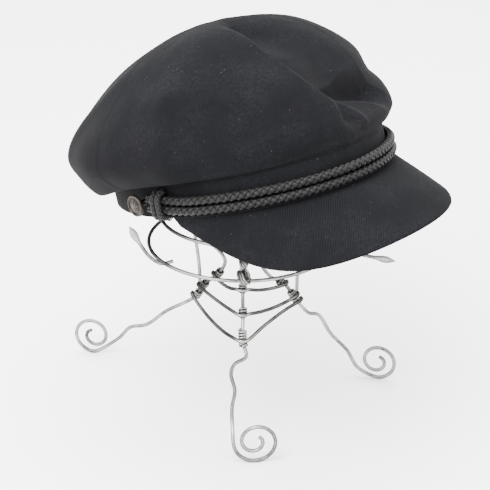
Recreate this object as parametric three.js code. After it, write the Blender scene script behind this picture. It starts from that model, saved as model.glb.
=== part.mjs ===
// A dark fiddler cap sitting tipped back on a small stand bent from steel wire.
// Millimetres, +Z up. The peak points to -Y and the wearer's right is -X.
// The origin is on the floor, under the middle of the whole object.
import * as THREE from 'three';
import { mergeVertices } from 'three/addons/utils/BufferGeometryUtils.js';

// Cap: band, crown and peak
const GAP = 0.35;
const BAND_HALF_WIDTH = 88;
const BAND_HALF_LENGTH = 104;
const BAND_HEIGHT = 24;
const BAND_WALL = 2.4;
const CROWN_WALL = 2;
const CROWN_TOP = 109;
const CROWN_LEAN = 2;
const CROWN_COLUMNS = 54;
const CROWN_ROWS = 18;
const PEAK_REACH = 58;
const PEAK_HALF_SPAN = 74.8;
const PEAK_WALL = 2.6;
const PEAK_FAN = 0.26;
const PEAK_TOE_IN = 0.51;
const PEAK_FULLNESS = 4.06;
const PEAK_TAPER = 1.44;
const PEAK_TRIM = 0.94;
const PEAK_END_LIFT = 1.6;
const PEAK_SLOPE_FRONT = 29.6;
const PEAK_SLOPE_RIGHT = 59;
const PEAK_SLOPE_LEFT = 32;

// Cap: cords, keepers and buttons
const CORD_RADIUS = 3.1;
const CORD_LOW = 5.2;
const CORD_STEP = 6.6;
const CORD_END = 81.5;
const CORD_RISE = 2.4;
const KEEPER_ANGLE = 74;
const KEEPER_THICK = 3.8;
const KEEPER_LONG = 9;
const BUTTON_ANGLE = 86;
const BUTTON_RADIUS = 7.4;
const BUTTON_THICK = 3.2;
const BUTTON_LIFT = 7.4;
const SHANK_RADIUS = 2;

// How the cap sits on the stand
const PITCH_BACK = 15.7;
const LEAN_RIGHT = 3.4;
const RIM_FORWARD = 9;
const RIM_HEIGHT = 165;
const FRONT_LEG_TURN = -37.7;

// Stand
const WIRE = 2.6;
const KNEE_HEIGHT = 57;
const NECK_RADIUS = 15;
const NECK_HEIGHT = 96;
const SCROLL_TURNS = 1.45;
const SCROLL_INNER = 4.4;
const RIB_BEND = { radius: 62, height: 119 };
const CRADLE_LOW = { radius: 65.5, height: 115 };
const CRADLE_HIGH = { radius: 57, height: 136 };
const HEAD_RING_LEVEL = 5;
const LEAF_LENGTH = 15;
const LEAF_WIDTH = 5;
const LEAF_THICK = 1.4;

// Profile of the crown at each bearing: where it hangs lowest, bulges most, turns in and tops out
const SECTION_COLUMNS = [
  'bearing', 'droopR', 'droopZ', 'bulgeR', 'bulgeZ', 'turnR', 'turnZ', 'upperR', 'upperZ',
];
const SECTIONS = [
  [-180, 112, 15, 121, 40, 106, 64, 61, 92],
  [-150, 108, 14, 118.5, 41, 102, 66, 58, 94.5],
  [-120, 102, 15, 114, 41, 96.5, 66, 53, 97],
  [-90, 98, 25, 109.5, 44, 93, 71, 51, 99.5],
  [-60, 97, 28, 106, 46, 91, 76, 49, 103],
  [-30, 101.5, 28, 104, 46, 89, 78, 47, 105],
  [0, 105, 28, 105, 44, 86, 74, 44, 102],
  [30, 101, 25, 101, 35, 82, 58, 44, 91],
  [60, 100.5, 20, 106, 30, 95, 57, 56, 92],
  [90, 101, 22, 111, 41, 99, 71, 60, 97],
  [120, 104, 17, 116, 42, 104, 69, 62, 96.5],
  [150, 109, 15, 120, 40, 106, 66, 62, 94],
].map((row) => Object.fromEntries(SECTION_COLUMNS.map((name, k) => [name, row[k]])));

// Folds of the crown: a line from one bearing and row to another, sunk by depth (raised if below 0)
const FOLDS = [
  { from: 4, rowFrom: 4.3, to: 15, rowTo: 2.9, depth: 13, nearSide: 8, farSide: 28 },
  { from: 15, rowFrom: 2.9, to: 40, rowTo: 2.6, depth: 15.5, nearSide: 9, farSide: 12 },
  { from: 40, rowFrom: 2.6, to: 74, rowTo: 2.62, depth: 6.5, nearSide: 9, farSide: 10 },
  { from: 15, rowFrom: 2.9, to: 10, rowTo: 2.0, depth: 8, nearSide: 8, farSide: 12 },
  { from: -64, rowFrom: 1.6, to: -60, rowTo: 3.2, depth: -3, nearSide: 14, farSide: 14 },
  { from: -48, rowFrom: 2.2, to: -20, rowTo: 3.4, depth: 3, nearSide: 24, farSide: 24 },
  { from: -128, rowFrom: 2.0, to: -104, rowTo: 3.6, depth: -2.5, nearSide: 12, farSide: 12 },
];

// Legs: knee and foot by radius and bearing from the front leg's turn, and the way between them
const LEGS = [
  {
    node: 'leg_front',
    knee: { radius: 44.5, bearing: 0.5, drop: 0 },
    foot: { radius: 107, bearing: 3.8 },
    scroll: 14.5,
    sideways: true,
    way: [
      { go: 0.12, off: 1.5, z: 50 },
      { go: 0.19, off: -7, z: 47 },
      { go: 0.28, off: -10, z: 43 },
      { go: 0.46, off: -8.5, z: 36 },
      { go: 0.64, off: -11.5, z: 30 },
      { go: 0.86, off: -12.6, z: 22 },
    ],
  },
  {
    node: 'leg_left',
    knee: { radius: 42.5, bearing: -124, drop: 0 },
    foot: { radius: 120, bearing: -111 },
    scroll: 13.6,
    sideways: false,
    way: [
      { go: 0.27, off: 0, z: 43 },
      { go: 0.47, off: 0, z: 29.5 },
      { go: 0.63, off: 0, z: 25.5 },
      { go: 0.75, off: 0, z: 15 },
    ],
  },
  {
    node: 'leg_right',
    knee: { radius: 46, bearing: 118, drop: 3.4 },
    foot: { radius: 98, bearing: 93 },
    scroll: 12.8,
    sideways: false,
    way: [
      { go: 0.13, off: 0, z: 46.5 },
      { go: 0.25, off: 0, z: 46 },
      { go: 0.41, off: 0, z: 32 },
      { go: 0.62, off: 0, z: 20 },
      { go: 0.76, off: 0, z: 7 },
    ],
  },
];

// Web wires: their height at each upright, and how far they sag on each side of the front one
const WEBS = [
  { node: 'web_low', left: 60.5, front: 59.5, right: 57.5, sagLeft: 5, sagRight: -2 },
  { node: 'web_mid', left: 70, front: 73, right: 62.5, sagLeft: 1, sagRight: 2.5 },
  { node: 'web_high', left: 83, front: 86, right: 74, sagLeft: 3, sagRight: 2 },
];

// Stays from beside two knees up to the higher cradle ring, and arms tied to the lower one
const STAYS = [
  { node: 'stay_left', bearing: -134, radius: 43.5, height: 62 },
  { node: 'stay_right', bearing: 128, radius: 50, height: 58 },
];
const ARMS = [
  {
    node: 'arm_left',
    bearing: -75,
    way: [
      { radius: 50, height: 104 },
      { radius: 58, height: 103 },
      { radius: 66, height: 109 },
      { radius: 74, height: 122 },
      { radius: 80, height: 134 },
    ],
  },
  {
    node: 'arm_right',
    bearing: 82,
    way: [
      { radius: 54, height: 110.5 },
      { radius: 68, height: 111 },
      { radius: 86, height: 108 },
      { radius: 107, height: 105 },
    ],
  },
];

const rad = THREE.MathUtils.degToRad;
const smooth = (value, from, to) => THREE.MathUtils.smoothstep(value, from, to);

// Materials
const finish = (color, metalness, roughness) =>
  new THREE.MeshStandardMaterial({ color, metalness, roughness });
const CLOTH = finish('#3f4045', 0, 0.85);
const BRAID = finish('#4a4a4f', 0, 0.7);
const OLD_METAL = finish('#6a625a', 0.9, 0.5);
const STEEL = finish('#b9bbbd', 1, 0.3);

// Radius of the band's oval at a bearing from the front, positive to the wearer's left
function ovalRadius(bearing, inset = 0) {
  const s = Math.sin(rad(bearing)) / (BAND_HALF_WIDTH - inset);
  const c = Math.cos(rad(bearing)) / (BAND_HALF_LENGTH - inset);
  return 1 / Math.hypot(s, c);
}

function polar(radius, bearing, z) {
  return new THREE.Vector3(radius * Math.sin(rad(bearing)), -radius * Math.cos(rad(bearing)), z);
}

// Cubic through four values, used along the crown's profile and round its sections
function cubic(a, b, c, d, t) {
  const m0 = (c - a) / 2;
  const m1 = (d - b) / 2;
  const t2 = t * t;
  const t3 = t2 * t;
  const held = (2 * t3 - 3 * t2 + 1) * b + (3 * t2 - 2 * t3) * c;
  return held + (t3 - 2 * t2 + t) * m0 + (t3 - t2) * m1;
}

function sectionValue(column, bearing) {
  const count = SECTIONS.length;
  const place = ((bearing + 180) / 360) * count;
  const i = Math.floor(place);
  const at = (k) => SECTIONS[(((i + k) % count) + count) % count][column];
  return cubic(at(-1), at(0), at(1), at(2), place - i);
}

// Outer surface of the crown before its folds: row 0 at the band, row 5 at the top
function crownBase(bearing, row) {
  const r = [
    ovalRadius(bearing),
    sectionValue('droopR', bearing),
    sectionValue('bulgeR', bearing),
    sectionValue('turnR', bearing),
    sectionValue('upperR', bearing),
    0,
  ];
  const z = [
    BAND_HEIGHT + GAP,
    sectionValue('droopZ', bearing),
    sectionValue('bulgeZ', bearing),
    sectionValue('turnZ', bearing),
    sectionValue('upperZ', bearing),
    CROWN_TOP,
  ];
  const i = Math.min(Math.floor(row), 4);
  const t = row - i;
  const before = (list) => (i > 0 ? list[i - 1] : 2 * list[0] - list[1]);
  const beyondR = i < 4 ? r[i + 2] : -r[4];
  const beyondZ = i < 4 ? z[i + 2] : z[4];
  const point = polar(
    cubic(before(r), r[i], r[i + 1], beyondR, t),
    bearing,
    cubic(before(z), z[i], z[i + 1], beyondZ, t),
  );
  return point.applyAxisAngle(new THREE.Vector3(0, 1, 0), -rad(CROWN_LEAN) * smooth(row, 0, 1.2));
}

// How far the folds sink the crown at a point of its base surface
function foldDepth(point, bearing) {
  let depth = 0;
  for (const fold of FOLDS) {
    const a = crownBase(fold.from, fold.rowFrom);
    const b = crownBase(fold.to, fold.rowTo);
    const along = b.clone().sub(a);
    const t = THREE.MathUtils.clamp(point.clone().sub(a).dot(along) / along.lengthSq(), 0, 1);
    const distance = point.distanceTo(a.clone().addScaledVector(along, t));
    const line = fold.from + (fold.to - fold.from) * t;
    const turn = ((bearing - line + 540) % 360) - 180;
    const side = smooth(turn, -6, 6);
    const width = fold.nearSide + (fold.farSide - fold.nearSide) * side;
    const fall = Math.exp(-((distance / width) ** 2));
    depth = fold.depth > 0 ? Math.max(depth, fold.depth * fall) : depth + fold.depth * fall;
  }
  return depth;
}

// Closed wall from an outer surface and an inner one, both as rows of points
function wall(outer, inner, closedRound, poleAtEnd) {
  const rows = outer.length;
  const columns = outer[0].length;
  const points = [];
  const faces = [];
  const wrap = (j) => (closedRound ? (j + columns) % columns : j);
  const index = (layer, i, j) => (layer * rows + i) * columns + wrap(j);
  for (const layer of [outer, inner]) {
    for (const row of layer) {
      for (const p of row) points.push(p.x, p.y, p.z);
    }
  }
  const quad = (a, b, c, d) => faces.push(a, b, c, a, c, d);
  const lastColumn = closedRound ? columns : columns - 1;
  for (let i = 0; i < rows - 1; i += 1) {
    for (let j = 0; j < lastColumn; j += 1) {
      quad(index(0, i, j), index(0, i, j + 1), index(0, i + 1, j + 1), index(0, i + 1, j));
      quad(index(1, i, j), index(1, i + 1, j), index(1, i + 1, j + 1), index(1, i, j + 1));
    }
  }
  for (let j = 0; j < lastColumn; j += 1) {
    quad(index(1, 0, j), index(1, 0, j + 1), index(0, 0, j + 1), index(0, 0, j));
    if (!poleAtEnd) {
      const last = rows - 1;
      quad(index(0, last, j), index(0, last, j + 1), index(1, last, j + 1), index(1, last, j));
    }
  }
  if (!closedRound) {
    for (let i = 0; i < rows - 1; i += 1) {
      quad(index(0, i, 0), index(0, i + 1, 0), index(1, i + 1, 0), index(1, i, 0));
      const end = columns - 1;
      quad(index(1, i, end), index(1, i + 1, end), index(0, i + 1, end), index(0, i, end));
    }
  }
  const geometry = new THREE.BufferGeometry();
  geometry.setAttribute('position', new THREE.Float32BufferAttribute(points, 3));
  geometry.setIndex(faces);
  return clean(geometry);
}

// Weld equal corners and drop the faces that this leaves without area
function clean(geometry) {
  const bare = geometry.index ? geometry.toNonIndexed() : geometry.clone();
  for (const name of Object.keys(bare.attributes)) {
    if (name !== 'position') bare.deleteAttribute(name);
  }
  const welded = mergeVertices(bare, 1e-3);
  const kept = [];
  const ids = welded.index.array;
  for (let i = 0; i < ids.length; i += 3) {
    const [a, b, c] = [ids[i], ids[i + 1], ids[i + 2]];
    if (a !== b && b !== c && c !== a) kept.push(a, b, c);
  }
  welded.setIndex(kept);
  welded.computeVertexNormals();
  return welded;
}

// Normals of a grid of points, by the difference of their neighbours
function gridNormals(grid, closedRound) {
  const rows = grid.length;
  const columns = grid[0].length;
  return grid.map((row, i) =>
    row.map((point, j) => {
      const left = closedRound ? row[(j + columns - 1) % columns] : row[Math.max(j - 1, 0)];
      const right = closedRound ? row[(j + 1) % columns] : row[Math.min(j + 1, columns - 1)];
      const low = grid[Math.max(i - 1, 0)][j];
      const high = grid[Math.min(i + 1, rows - 1)][j];
      return right.clone().sub(left).cross(high.clone().sub(low)).normalize();
    }),
  );
}

function crownGeometry() {
  const base = [];
  const sunk = [];
  for (let i = 0; i <= CROWN_ROWS; i += 1) {
    const row = (i / CROWN_ROWS) * 5;
    base.push([]);
    for (let j = 0; j < CROWN_COLUMNS; j += 1) {
      const bearing = -180 + (360 * j) / CROWN_COLUMNS;
      base[i].push(crownBase(bearing, Math.min(row, 4.985)));
    }
  }
  const normals = gridNormals(base, true);
  for (let i = 0; i <= CROWN_ROWS; i += 1) {
    const held = smooth(i / CROWN_ROWS, 0.1, 0.36);
    sunk.push(
      base[i].map((point, j) => {
        const bearing = -180 + (360 * j) / CROWN_COLUMNS;
        return point.clone().addScaledVector(normals[i][j], -held * foldDepth(point, bearing));
      }),
    );
  }
  const top = new THREE.Vector3();
  for (const p of sunk[CROWN_ROWS]) top.addScaledVector(p, 1 / CROWN_COLUMNS);
  sunk[CROWN_ROWS] = sunk[CROWN_ROWS].map(() => top.clone());
  const facing = gridNormals(sunk, true);
  facing[CROWN_ROWS] = facing[CROWN_ROWS].map(() => new THREE.Vector3(0, 0, 1));
  facing[0] = facing[0].map((n, j) => {
    const out = polar(1, -180 + (360 * j) / CROWN_COLUMNS, 0);
    return n.clone().lerp(out, 0.5).setZ(Math.min(n.z, -0.6)).normalize();
  });
  const inside = sunk.map((row, i) =>
    row.map((p, j) => p.clone().addScaledVector(facing[i][j], -CROWN_WALL)),
  );
  return wall(sunk, inside, true, true);
}

function bandGeometry() {
  const grid = (inset) =>
    [0, BAND_HEIGHT].map((z) => {
      const row = [];
      for (let j = 0; j < CROWN_COLUMNS; j += 1) {
        const bearing = -180 + (360 * j) / CROWN_COLUMNS;
        row.push(polar(ovalRadius(bearing, inset), bearing, z));
      }
      return row;
    });
  return wall(grid(0), grid(BAND_WALL), true, false);
}

// Peak's top surface: across from -1 to 1 between its corners, out from 0 at the band to 1 at its edge
function peakPoint(across, out) {
  const bearing = across * PEAK_HALF_SPAN;
  const fullness = (1 - Math.abs(across) ** PEAK_FULLNESS) ** PEAK_TAPER;
  const twist = (PEAK_SLOPE_LEFT - PEAK_SLOPE_RIGHT) / 2;
  const steepen = (PEAK_SLOPE_LEFT + PEAK_SLOPE_RIGHT) / 2 - PEAK_SLOPE_FRONT;
  const slope = rad(PEAK_SLOPE_FRONT + twist * across + steepen * across * across);
  const reach = PEAK_REACH * fullness * out;
  const heading = bearing * (PEAK_FAN - PEAK_TOE_IN * across * across);
  const lift = GAP + 0.25 + PEAK_END_LIFT * across ** 8;
  const start = polar(ovalRadius(bearing) + lift, bearing, 0.9);
  const bow = 0.06 * reach * (1 - out);
  const flat = reach * Math.cos(slope) + bow * Math.sin(slope);
  return start.add(polar(flat, heading, -reach * Math.sin(slope) + bow * Math.cos(slope)));
}

function peakGeometry() {
  const columns = 36;
  const rows = 5;
  const top = [];
  for (let i = 0; i <= rows; i += 1) {
    top.push([]);
    for (let j = 0; j <= columns; j += 1) {
      const even = -1 + (2 * j) / columns;
      const across = PEAK_TRIM * (Math.sin((even * Math.PI) / 2) * 0.5 + even * 0.5);
      top[i].push(peakPoint(across, i / rows));
    }
  }
  const down = gridNormals(top, false);
  const under = top.map((row, i) =>
    row.map((p, j) => {
      const way = down[i][j].clone().multiplyScalar(0.45).add(new THREE.Vector3(0, 0, -0.55));
      return p.clone().addScaledVector(way, PEAK_WALL);
    }),
  );
  return wall(under, top, false, false);
}

// Round section with a given number of sides
function roundShape(radius, sides, stretch = 1) {
  const points = [];
  for (let i = 0; i < sides; i += 1) {
    const a = (2 * Math.PI * i) / sides;
    points.push(new THREE.Vector2(radius * Math.cos(a), radius * stretch * Math.sin(a)));
  }
  return new THREE.Shape(points);
}

function tube(points, radius, sides, spacing) {
  const curve = new THREE.CatmullRomCurve3(points, false, 'centripetal');
  const steps = Math.max(4, Math.round(curve.getLength() / spacing));
  return clean(
    new THREE.ExtrudeGeometry(roundShape(radius, sides), {
      steps,
      extrudePath: curve,
      bevelEnabled: false,
    }),
  );
}

function hoop(points, radius, sides, spacing) {
  const curve = new THREE.CatmullRomCurve3(points, true, 'centripetal');
  const steps = Math.max(12, Math.round(curve.getLength() / spacing));
  return clean(new THREE.TubeGeometry(curve, steps, radius, sides, true));
}

// Place on the band, in the cap's own frame: off its face by lift, at a height
function onBand(bearing, lift, z) {
  const r = ovalRadius(bearing);
  const a = polar(ovalRadius(bearing - 0.5), bearing - 0.5, 0);
  const b = polar(ovalRadius(bearing + 0.5), bearing + 0.5, 0);
  const along = b.sub(a).normalize();
  const out = along.clone().cross(new THREE.Vector3(0, 0, 1)).normalize();
  const point = polar(r, bearing, z).addScaledVector(out, lift);
  return { point, along, out };
}

function cordHeight(bearing, order) {
  return CORD_LOW + order * CORD_STEP + CORD_RISE * smooth(Math.abs(bearing), 58, CORD_END);
}

function cordGeometry(order) {
  const points = [];
  for (let k = 0; k <= 30; k += 1) {
    const bearing = -CORD_END + (2 * CORD_END * k) / 30;
    points.push(onBand(bearing, CORD_RADIUS + GAP, cordHeight(bearing, order)).point);
  }
  return tube(points, CORD_RADIUS, 8, 10);
}

// A flat turn of cord over the outside of both cords, from the band below them to the band above
function keeperGeometry(side) {
  const bearing = side * KEEPER_ANGLE;
  const { along, out } = onBand(bearing, 0, 0);
  const up = new THREE.Vector3(0, 0, 1);
  const low = cordHeight(bearing, 0);
  const high = cordHeight(bearing, 1);
  const ring = CORD_RADIUS + GAP + KEEPER_THICK / 2;
  const base = onBand(bearing, 0, 0).point;
  const at = (lift, z) => base.clone().addScaledVector(out, lift).addScaledVector(up, z);
  const middle = CORD_RADIUS + GAP;
  const points = [at(GAP + KEEPER_THICK / 2, low - ring)];
  for (const a of [-60, -30, 0]) {
    points.push(at(middle + ring * Math.cos(rad(a)), low + ring * Math.sin(rad(a))));
  }
  for (const a of [0, 30, 60]) {
    points.push(at(middle + ring * Math.cos(rad(a)), high + ring * Math.sin(rad(a))));
  }
  points.push(at(GAP + KEEPER_THICK / 2, high + ring));
  const curve = new THREE.CatmullRomCurve3(points, false, 'centripetal');
  const steps = 14;
  const rows = [];
  for (let i = 0; i <= steps; i += 1) {
    const point = curve.getPoint(i / steps);
    const way = curve.getTangent(i / steps);
    const face = way.clone().cross(along).normalize();
    const row = [];
    for (let k = 0; k < 8; k += 1) {
      const a = (2 * Math.PI * k) / 8;
      row.push(
        point
          .clone()
          .addScaledVector(along, (KEEPER_LONG / 2) * Math.cos(a))
          .addScaledVector(face, (KEEPER_THICK / 2) * Math.sin(a)),
      );
    }
    rows.push(row);
  }
  return capped(rows);
}

// Closed skin through rows of section points, with a flat cap at each end
function capped(rows) {
  const count = rows[0].length;
  const points = rows.flat().flatMap((p) => [p.x, p.y, p.z]);
  const faces = [];
  for (let i = 0; i < rows.length - 1; i += 1) {
    for (let k = 0; k < count; k += 1) {
      const a = i * count + k;
      const b = i * count + ((k + 1) % count);
      faces.push(a, b, b + count, a, b + count, a + count);
    }
  }
  const end = (rows.length - 1) * count;
  for (let k = 1; k < count - 1; k += 1) {
    faces.push(0, k + 1, k);
    faces.push(end, end + k, end + k + 1);
  }
  const geometry = new THREE.BufferGeometry();
  geometry.setAttribute('position', new THREE.Float32BufferAttribute(points, 3));
  geometry.setIndex(faces);
  const welded = clean(geometry);
  if (signedVolume(welded) < 0) {
    const ids = welded.index.array;
    for (let i = 0; i < ids.length; i += 3) [ids[i + 1], ids[i + 2]] = [ids[i + 2], ids[i + 1]];
    welded.computeVertexNormals();
  }
  return welded;
}

function signedVolume(geometry) {
  const place = geometry.attributes.position;
  const ids = geometry.index.array;
  const [a, b, c] = [new THREE.Vector3(), new THREE.Vector3(), new THREE.Vector3()];
  let sum = 0;
  for (let i = 0; i < ids.length; i += 3) {
    a.fromBufferAttribute(place, ids[i]);
    b.fromBufferAttribute(place, ids[i + 1]);
    c.fromBufferAttribute(place, ids[i + 2]);
    sum += a.dot(b.cross(c)) / 6;
  }
  return sum;
}

// Button: a shank off the band and a low domed disc with a raised rim
function buttonGeometry(side) {
  const bearing = side * BUTTON_ANGLE;
  const middle = CORD_LOW + CORD_STEP / 2 + CORD_RISE;
  const seat = onBand(bearing, GAP, middle);
  const outline = [
    [0, 0],
    [SHANK_RADIUS, 0],
    [SHANK_RADIUS, BUTTON_LIFT],
    [BUTTON_RADIUS - 0.8, BUTTON_LIFT],
    [BUTTON_RADIUS, BUTTON_LIFT + 0.9],
    [BUTTON_RADIUS - 0.3, BUTTON_LIFT + BUTTON_THICK * 0.75],
    [BUTTON_RADIUS - 1.3, BUTTON_LIFT + BUTTON_THICK * 0.85],
    [BUTTON_RADIUS - 2, BUTTON_LIFT + BUTTON_THICK * 0.62],
    [3, BUTTON_LIFT + BUTTON_THICK * 0.92],
    [0, BUTTON_LIFT + BUTTON_THICK],
  ].map(([x, y]) => new THREE.Vector2(x, y));
  const geometry = new THREE.LatheGeometry(outline, 16);
  const turn = new THREE.Quaternion().setFromUnitVectors(new THREE.Vector3(0, 1, 0), seat.out);
  geometry.applyQuaternion(turn);
  geometry.translate(seat.point.x, seat.point.y, seat.point.z);
  return clean(geometry);
}

// The cap's place on the stand, as a matrix from the cap's frame to the stand's
function capPlace() {
  const tip = new THREE.Euler(-rad(PITCH_BACK), -rad(LEAN_RIGHT), 0, 'XYZ');
  const turn = new THREE.Quaternion().setFromEuler(tip);
  return new THREE.Matrix4().compose(
    new THREE.Vector3(0, -RIM_FORWARD, RIM_HEIGHT),
    turn,
    new THREE.Vector3(1, 1, 1),
  );
}

// One wire of the stand, from its end at the head ring down to the inner end of its scroll foot
function legPoints(leg) {
  const knee = leg.knee.bearing + FRONT_LEG_TURN;
  const foot = leg.foot.bearing + FRONT_LEG_TURN;
  const inset = BAND_WALL + GAP + WIRE * 1.5 + GAP;
  const top = polar(ovalRadius(knee, inset), knee, HEAD_RING_LEVEL).applyMatrix4(capPlace());
  const points = [
    top,
    polar(RIB_BEND.radius, knee, RIB_BEND.height),
    polar(38, knee, NECK_HEIGHT + 11),
    polar(21, knee, NECK_HEIGHT + 5),
    polar(NECK_RADIUS, knee, NECK_HEIGHT - 2),
    polar(NECK_RADIUS + 6, knee, NECK_HEIGHT - 14),
    polar((NECK_RADIUS + leg.knee.radius) / 2 + 4, knee, KNEE_HEIGHT + 14),
    polar(leg.knee.radius, knee, KNEE_HEIGHT - leg.knee.drop),
  ];
  const start = polar(leg.knee.radius, knee, 0);
  const along = polar(leg.foot.radius, foot, 0).sub(start);
  const length = along.length();
  along.normalize();
  const side = new THREE.Vector3(-along.y, along.x, 0);
  const at = (go, off, z) => start.clone().addScaledVector(along, go).addScaledVector(side, off).setZ(z);
  for (const { go, off, z } of leg.way) points.push(at(length * go, off, z));
  const turnFrom = leg.sideways ? -165 : -90;
  const turns = SCROLL_TURNS + (leg.sideways ? 0.15 : 0);
  for (let k = 0; k <= 18; k += 1) {
    const share = k / 18;
    const angle = rad(turnFrom + 360 * turns * share);
    const radius = leg.scroll + (SCROLL_INNER - leg.scroll) * smooth(share, 0.1, 1.05);
    const reach = radius * Math.cos(angle);
    const z = leg.scroll + WIRE / 2 + radius * Math.sin(angle);
    points.push(leg.sideways ? at(length, reach + 1.8, z) : at(length + reach, 0, z));
  }
  return points;
}

// Where a leg's upright crosses a level
function uprightAt(leg, level) {
  const curve = new THREE.CatmullRomCurve3(legPoints(leg), false, 'centripetal');
  let best = null;
  for (let i = 0; i <= 900; i += 1) {
    const point = curve.getPoint(i / 900);
    if (Math.hypot(point.x, point.y) < leg.knee.radius + 1 && point.z < NECK_HEIGHT) {
      if (!best || Math.abs(point.z - level) < Math.abs(best.z - level)) best = point.clone();
    }
  }
  return best;
}

// Wire from the left upright, bent round the front one, to the right one, outside all three
function webPoints(web) {
  const legs = Object.fromEntries(LEGS.map((leg) => [leg.node, leg]));
  const pins = [
    uprightAt(legs.leg_left, web.left),
    uprightAt(legs.leg_front, web.front),
    uprightAt(legs.leg_right, web.right),
  ];
  const clear = WIRE + 1.9;
  const normal = (p, q) => Math.atan2(-(q.x - p.x), q.y - p.y);
  const points = [];
  pins.forEach((pin, i) => {
    const from = normal(pins[(i + 2) % 3], pin);
    let to = normal(pin, pins[(i + 1) % 3]);
    while (to < from) to += 2 * Math.PI;
    for (let k = i === 0 ? 2 : 0; k <= (i === 2 ? 2 : 4); k += 1) {
      const a = from + ((to - from) * k) / 4;
      const p = new THREE.Vector3(Math.cos(a), Math.sin(a), 0).multiplyScalar(clear);
      points.push(p.add(pin));
    }
    if (i === 2) return;
    const last = points[points.length - 1];
    const next = new THREE.Vector3(Math.cos(to), Math.sin(to), 0).multiplyScalar(clear);
    next.add(pins[i + 1]);
    const sag = i === 0 ? web.sagLeft : web.sagRight;
    for (const share of [0.25, 0.5, 0.75]) {
      const point = last.clone().lerp(next, share);
      points.push(point.setZ(point.z - 4 * sag * share * (1 - share)));
    }
  });
  return points;
}

function circlePoints({ radius, height }) {
  const points = [];
  for (let k = 0; k < 24; k += 1) points.push(polar(radius, k * 15, height));
  return points;
}

// Short arm of wire beaten flat into a leaf at its tip
function armGeometry(arm) {
  const turn = arm.bearing + FRONT_LEG_TURN;
  const curve = new THREE.CatmullRomCurve3(
    arm.way.map(({ radius, height }) => polar(radius, turn, height)),
    false,
    'centripetal',
  );
  const length = curve.getLength();
  const steps = Math.round(length / 3.5);
  const across = polar(1, turn + 90, 0);
  const rows = [];
  for (let i = 0; i <= steps; i += 1) {
    const point = curve.getPointAt(i / steps);
    const face = curve.getTangentAt(i / steps).cross(across).normalize();
    const into = Math.max(0, (i / steps - 1) * length + LEAF_LENGTH) / LEAF_LENGTH;
    const swell = Math.sin(Math.PI * Math.min(into, 0.96));
    const wide = (WIRE / 2) * (1 - into) + (LEAF_WIDTH / 2) * swell * into ** 0.3;
    const thick = (WIRE / 2) * (1 - into) + (LEAF_THICK / 2) * into;
    const row = [];
    for (let k = 0; k < 6; k += 1) {
      const a = (2 * Math.PI * k) / 6;
      row.push(
        point
          .clone()
          .addScaledVector(across, thick * Math.cos(a))
          .addScaledVector(face, wide * Math.sin(a)),
      );
    }
    rows.push(row);
  }
  return capped(rows);
}

function stayPoints(stay) {
  const turn = stay.bearing + FRONT_LEG_TURN;
  return [
    polar(stay.radius, turn, stay.height),
    polar(stay.radius + 0.5, turn, stay.height + 18),
    polar((stay.radius + CRADLE_HIGH.radius) / 2, turn, CRADLE_HIGH.height - 24),
    polar(CRADLE_HIGH.radius, turn, CRADLE_HIGH.height - WIRE / 2 - GAP - 0.2),
  ];
}

function named(name, geometry, material) {
  const mesh = new THREE.Mesh(geometry, material);
  mesh.name = name;
  return mesh;
}

const place = capPlace();
const worn = (geometry) => geometry.applyMatrix4(place);
const headInset = BAND_WALL + GAP + WIRE / 2;
const headPoints = [];
for (let k = 0; k < 40; k += 1) {
  headPoints.push(polar(ovalRadius(k * 9, headInset), k * 9, HEAD_RING_LEVEL));
}

const object = new THREE.Group();
object.name = 'fiddler_cap_on_wire_stand';
object.add(
  named('crown', worn(crownGeometry()), CLOTH),
  named('band', worn(bandGeometry()), CLOTH),
  named('peak', worn(peakGeometry()), CLOTH),
  named('cord_lower', worn(cordGeometry(0)), BRAID),
  named('cord_upper', worn(cordGeometry(1)), BRAID),
  named('keeper_right', worn(keeperGeometry(-1)), BRAID),
  named('keeper_left', worn(keeperGeometry(1)), BRAID),
  named('button_right', worn(buttonGeometry(-1)), OLD_METAL),
  named('button_left', worn(buttonGeometry(1)), OLD_METAL),
);
for (const leg of LEGS) {
  object.add(named(leg.node, tube(legPoints(leg), WIRE / 2, 6, 7), STEEL));
}
for (const web of WEBS) {
  object.add(named(web.node, tube(webPoints(web), WIRE / 2, 6, 5), STEEL));
}
for (const stay of STAYS) {
  object.add(named(stay.node, tube(stayPoints(stay), WIRE / 2, 6, 10), STEEL));
}
for (const arm of ARMS) object.add(named(arm.node, armGeometry(arm), STEEL));
object.add(
  named('cradle_low', hoop(circlePoints(CRADLE_LOW), WIRE / 2, 6, 12), STEEL),
  named('cradle_high', hoop(circlePoints(CRADLE_HIGH), WIRE / 2, 6, 12), STEEL),
  named('head_ring', worn(hoop(headPoints, WIRE / 2, 6, 14)), STEEL),
);

// Stand the object on the floor with the middle of its plan over the origin
const box = new THREE.Box3().setFromObject(object);
const middle = box.getCenter(new THREE.Vector3());
for (const mesh of object.children) mesh.geometry.translate(-middle.x, -middle.y, -box.min.z);

export default object;
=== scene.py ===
"""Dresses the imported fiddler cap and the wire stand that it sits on.

Lengths are worked out in millimetres, the cap in its own frame and the stand in the stand's,
and go into the meshes in metres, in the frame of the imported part.
"""

import logging
import math
from dataclasses import dataclass, field
from enum import Enum
from typing import Optional, Sequence

import bmesh
import bpy
import numpy as np
from mathutils import Matrix, Vector


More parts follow.
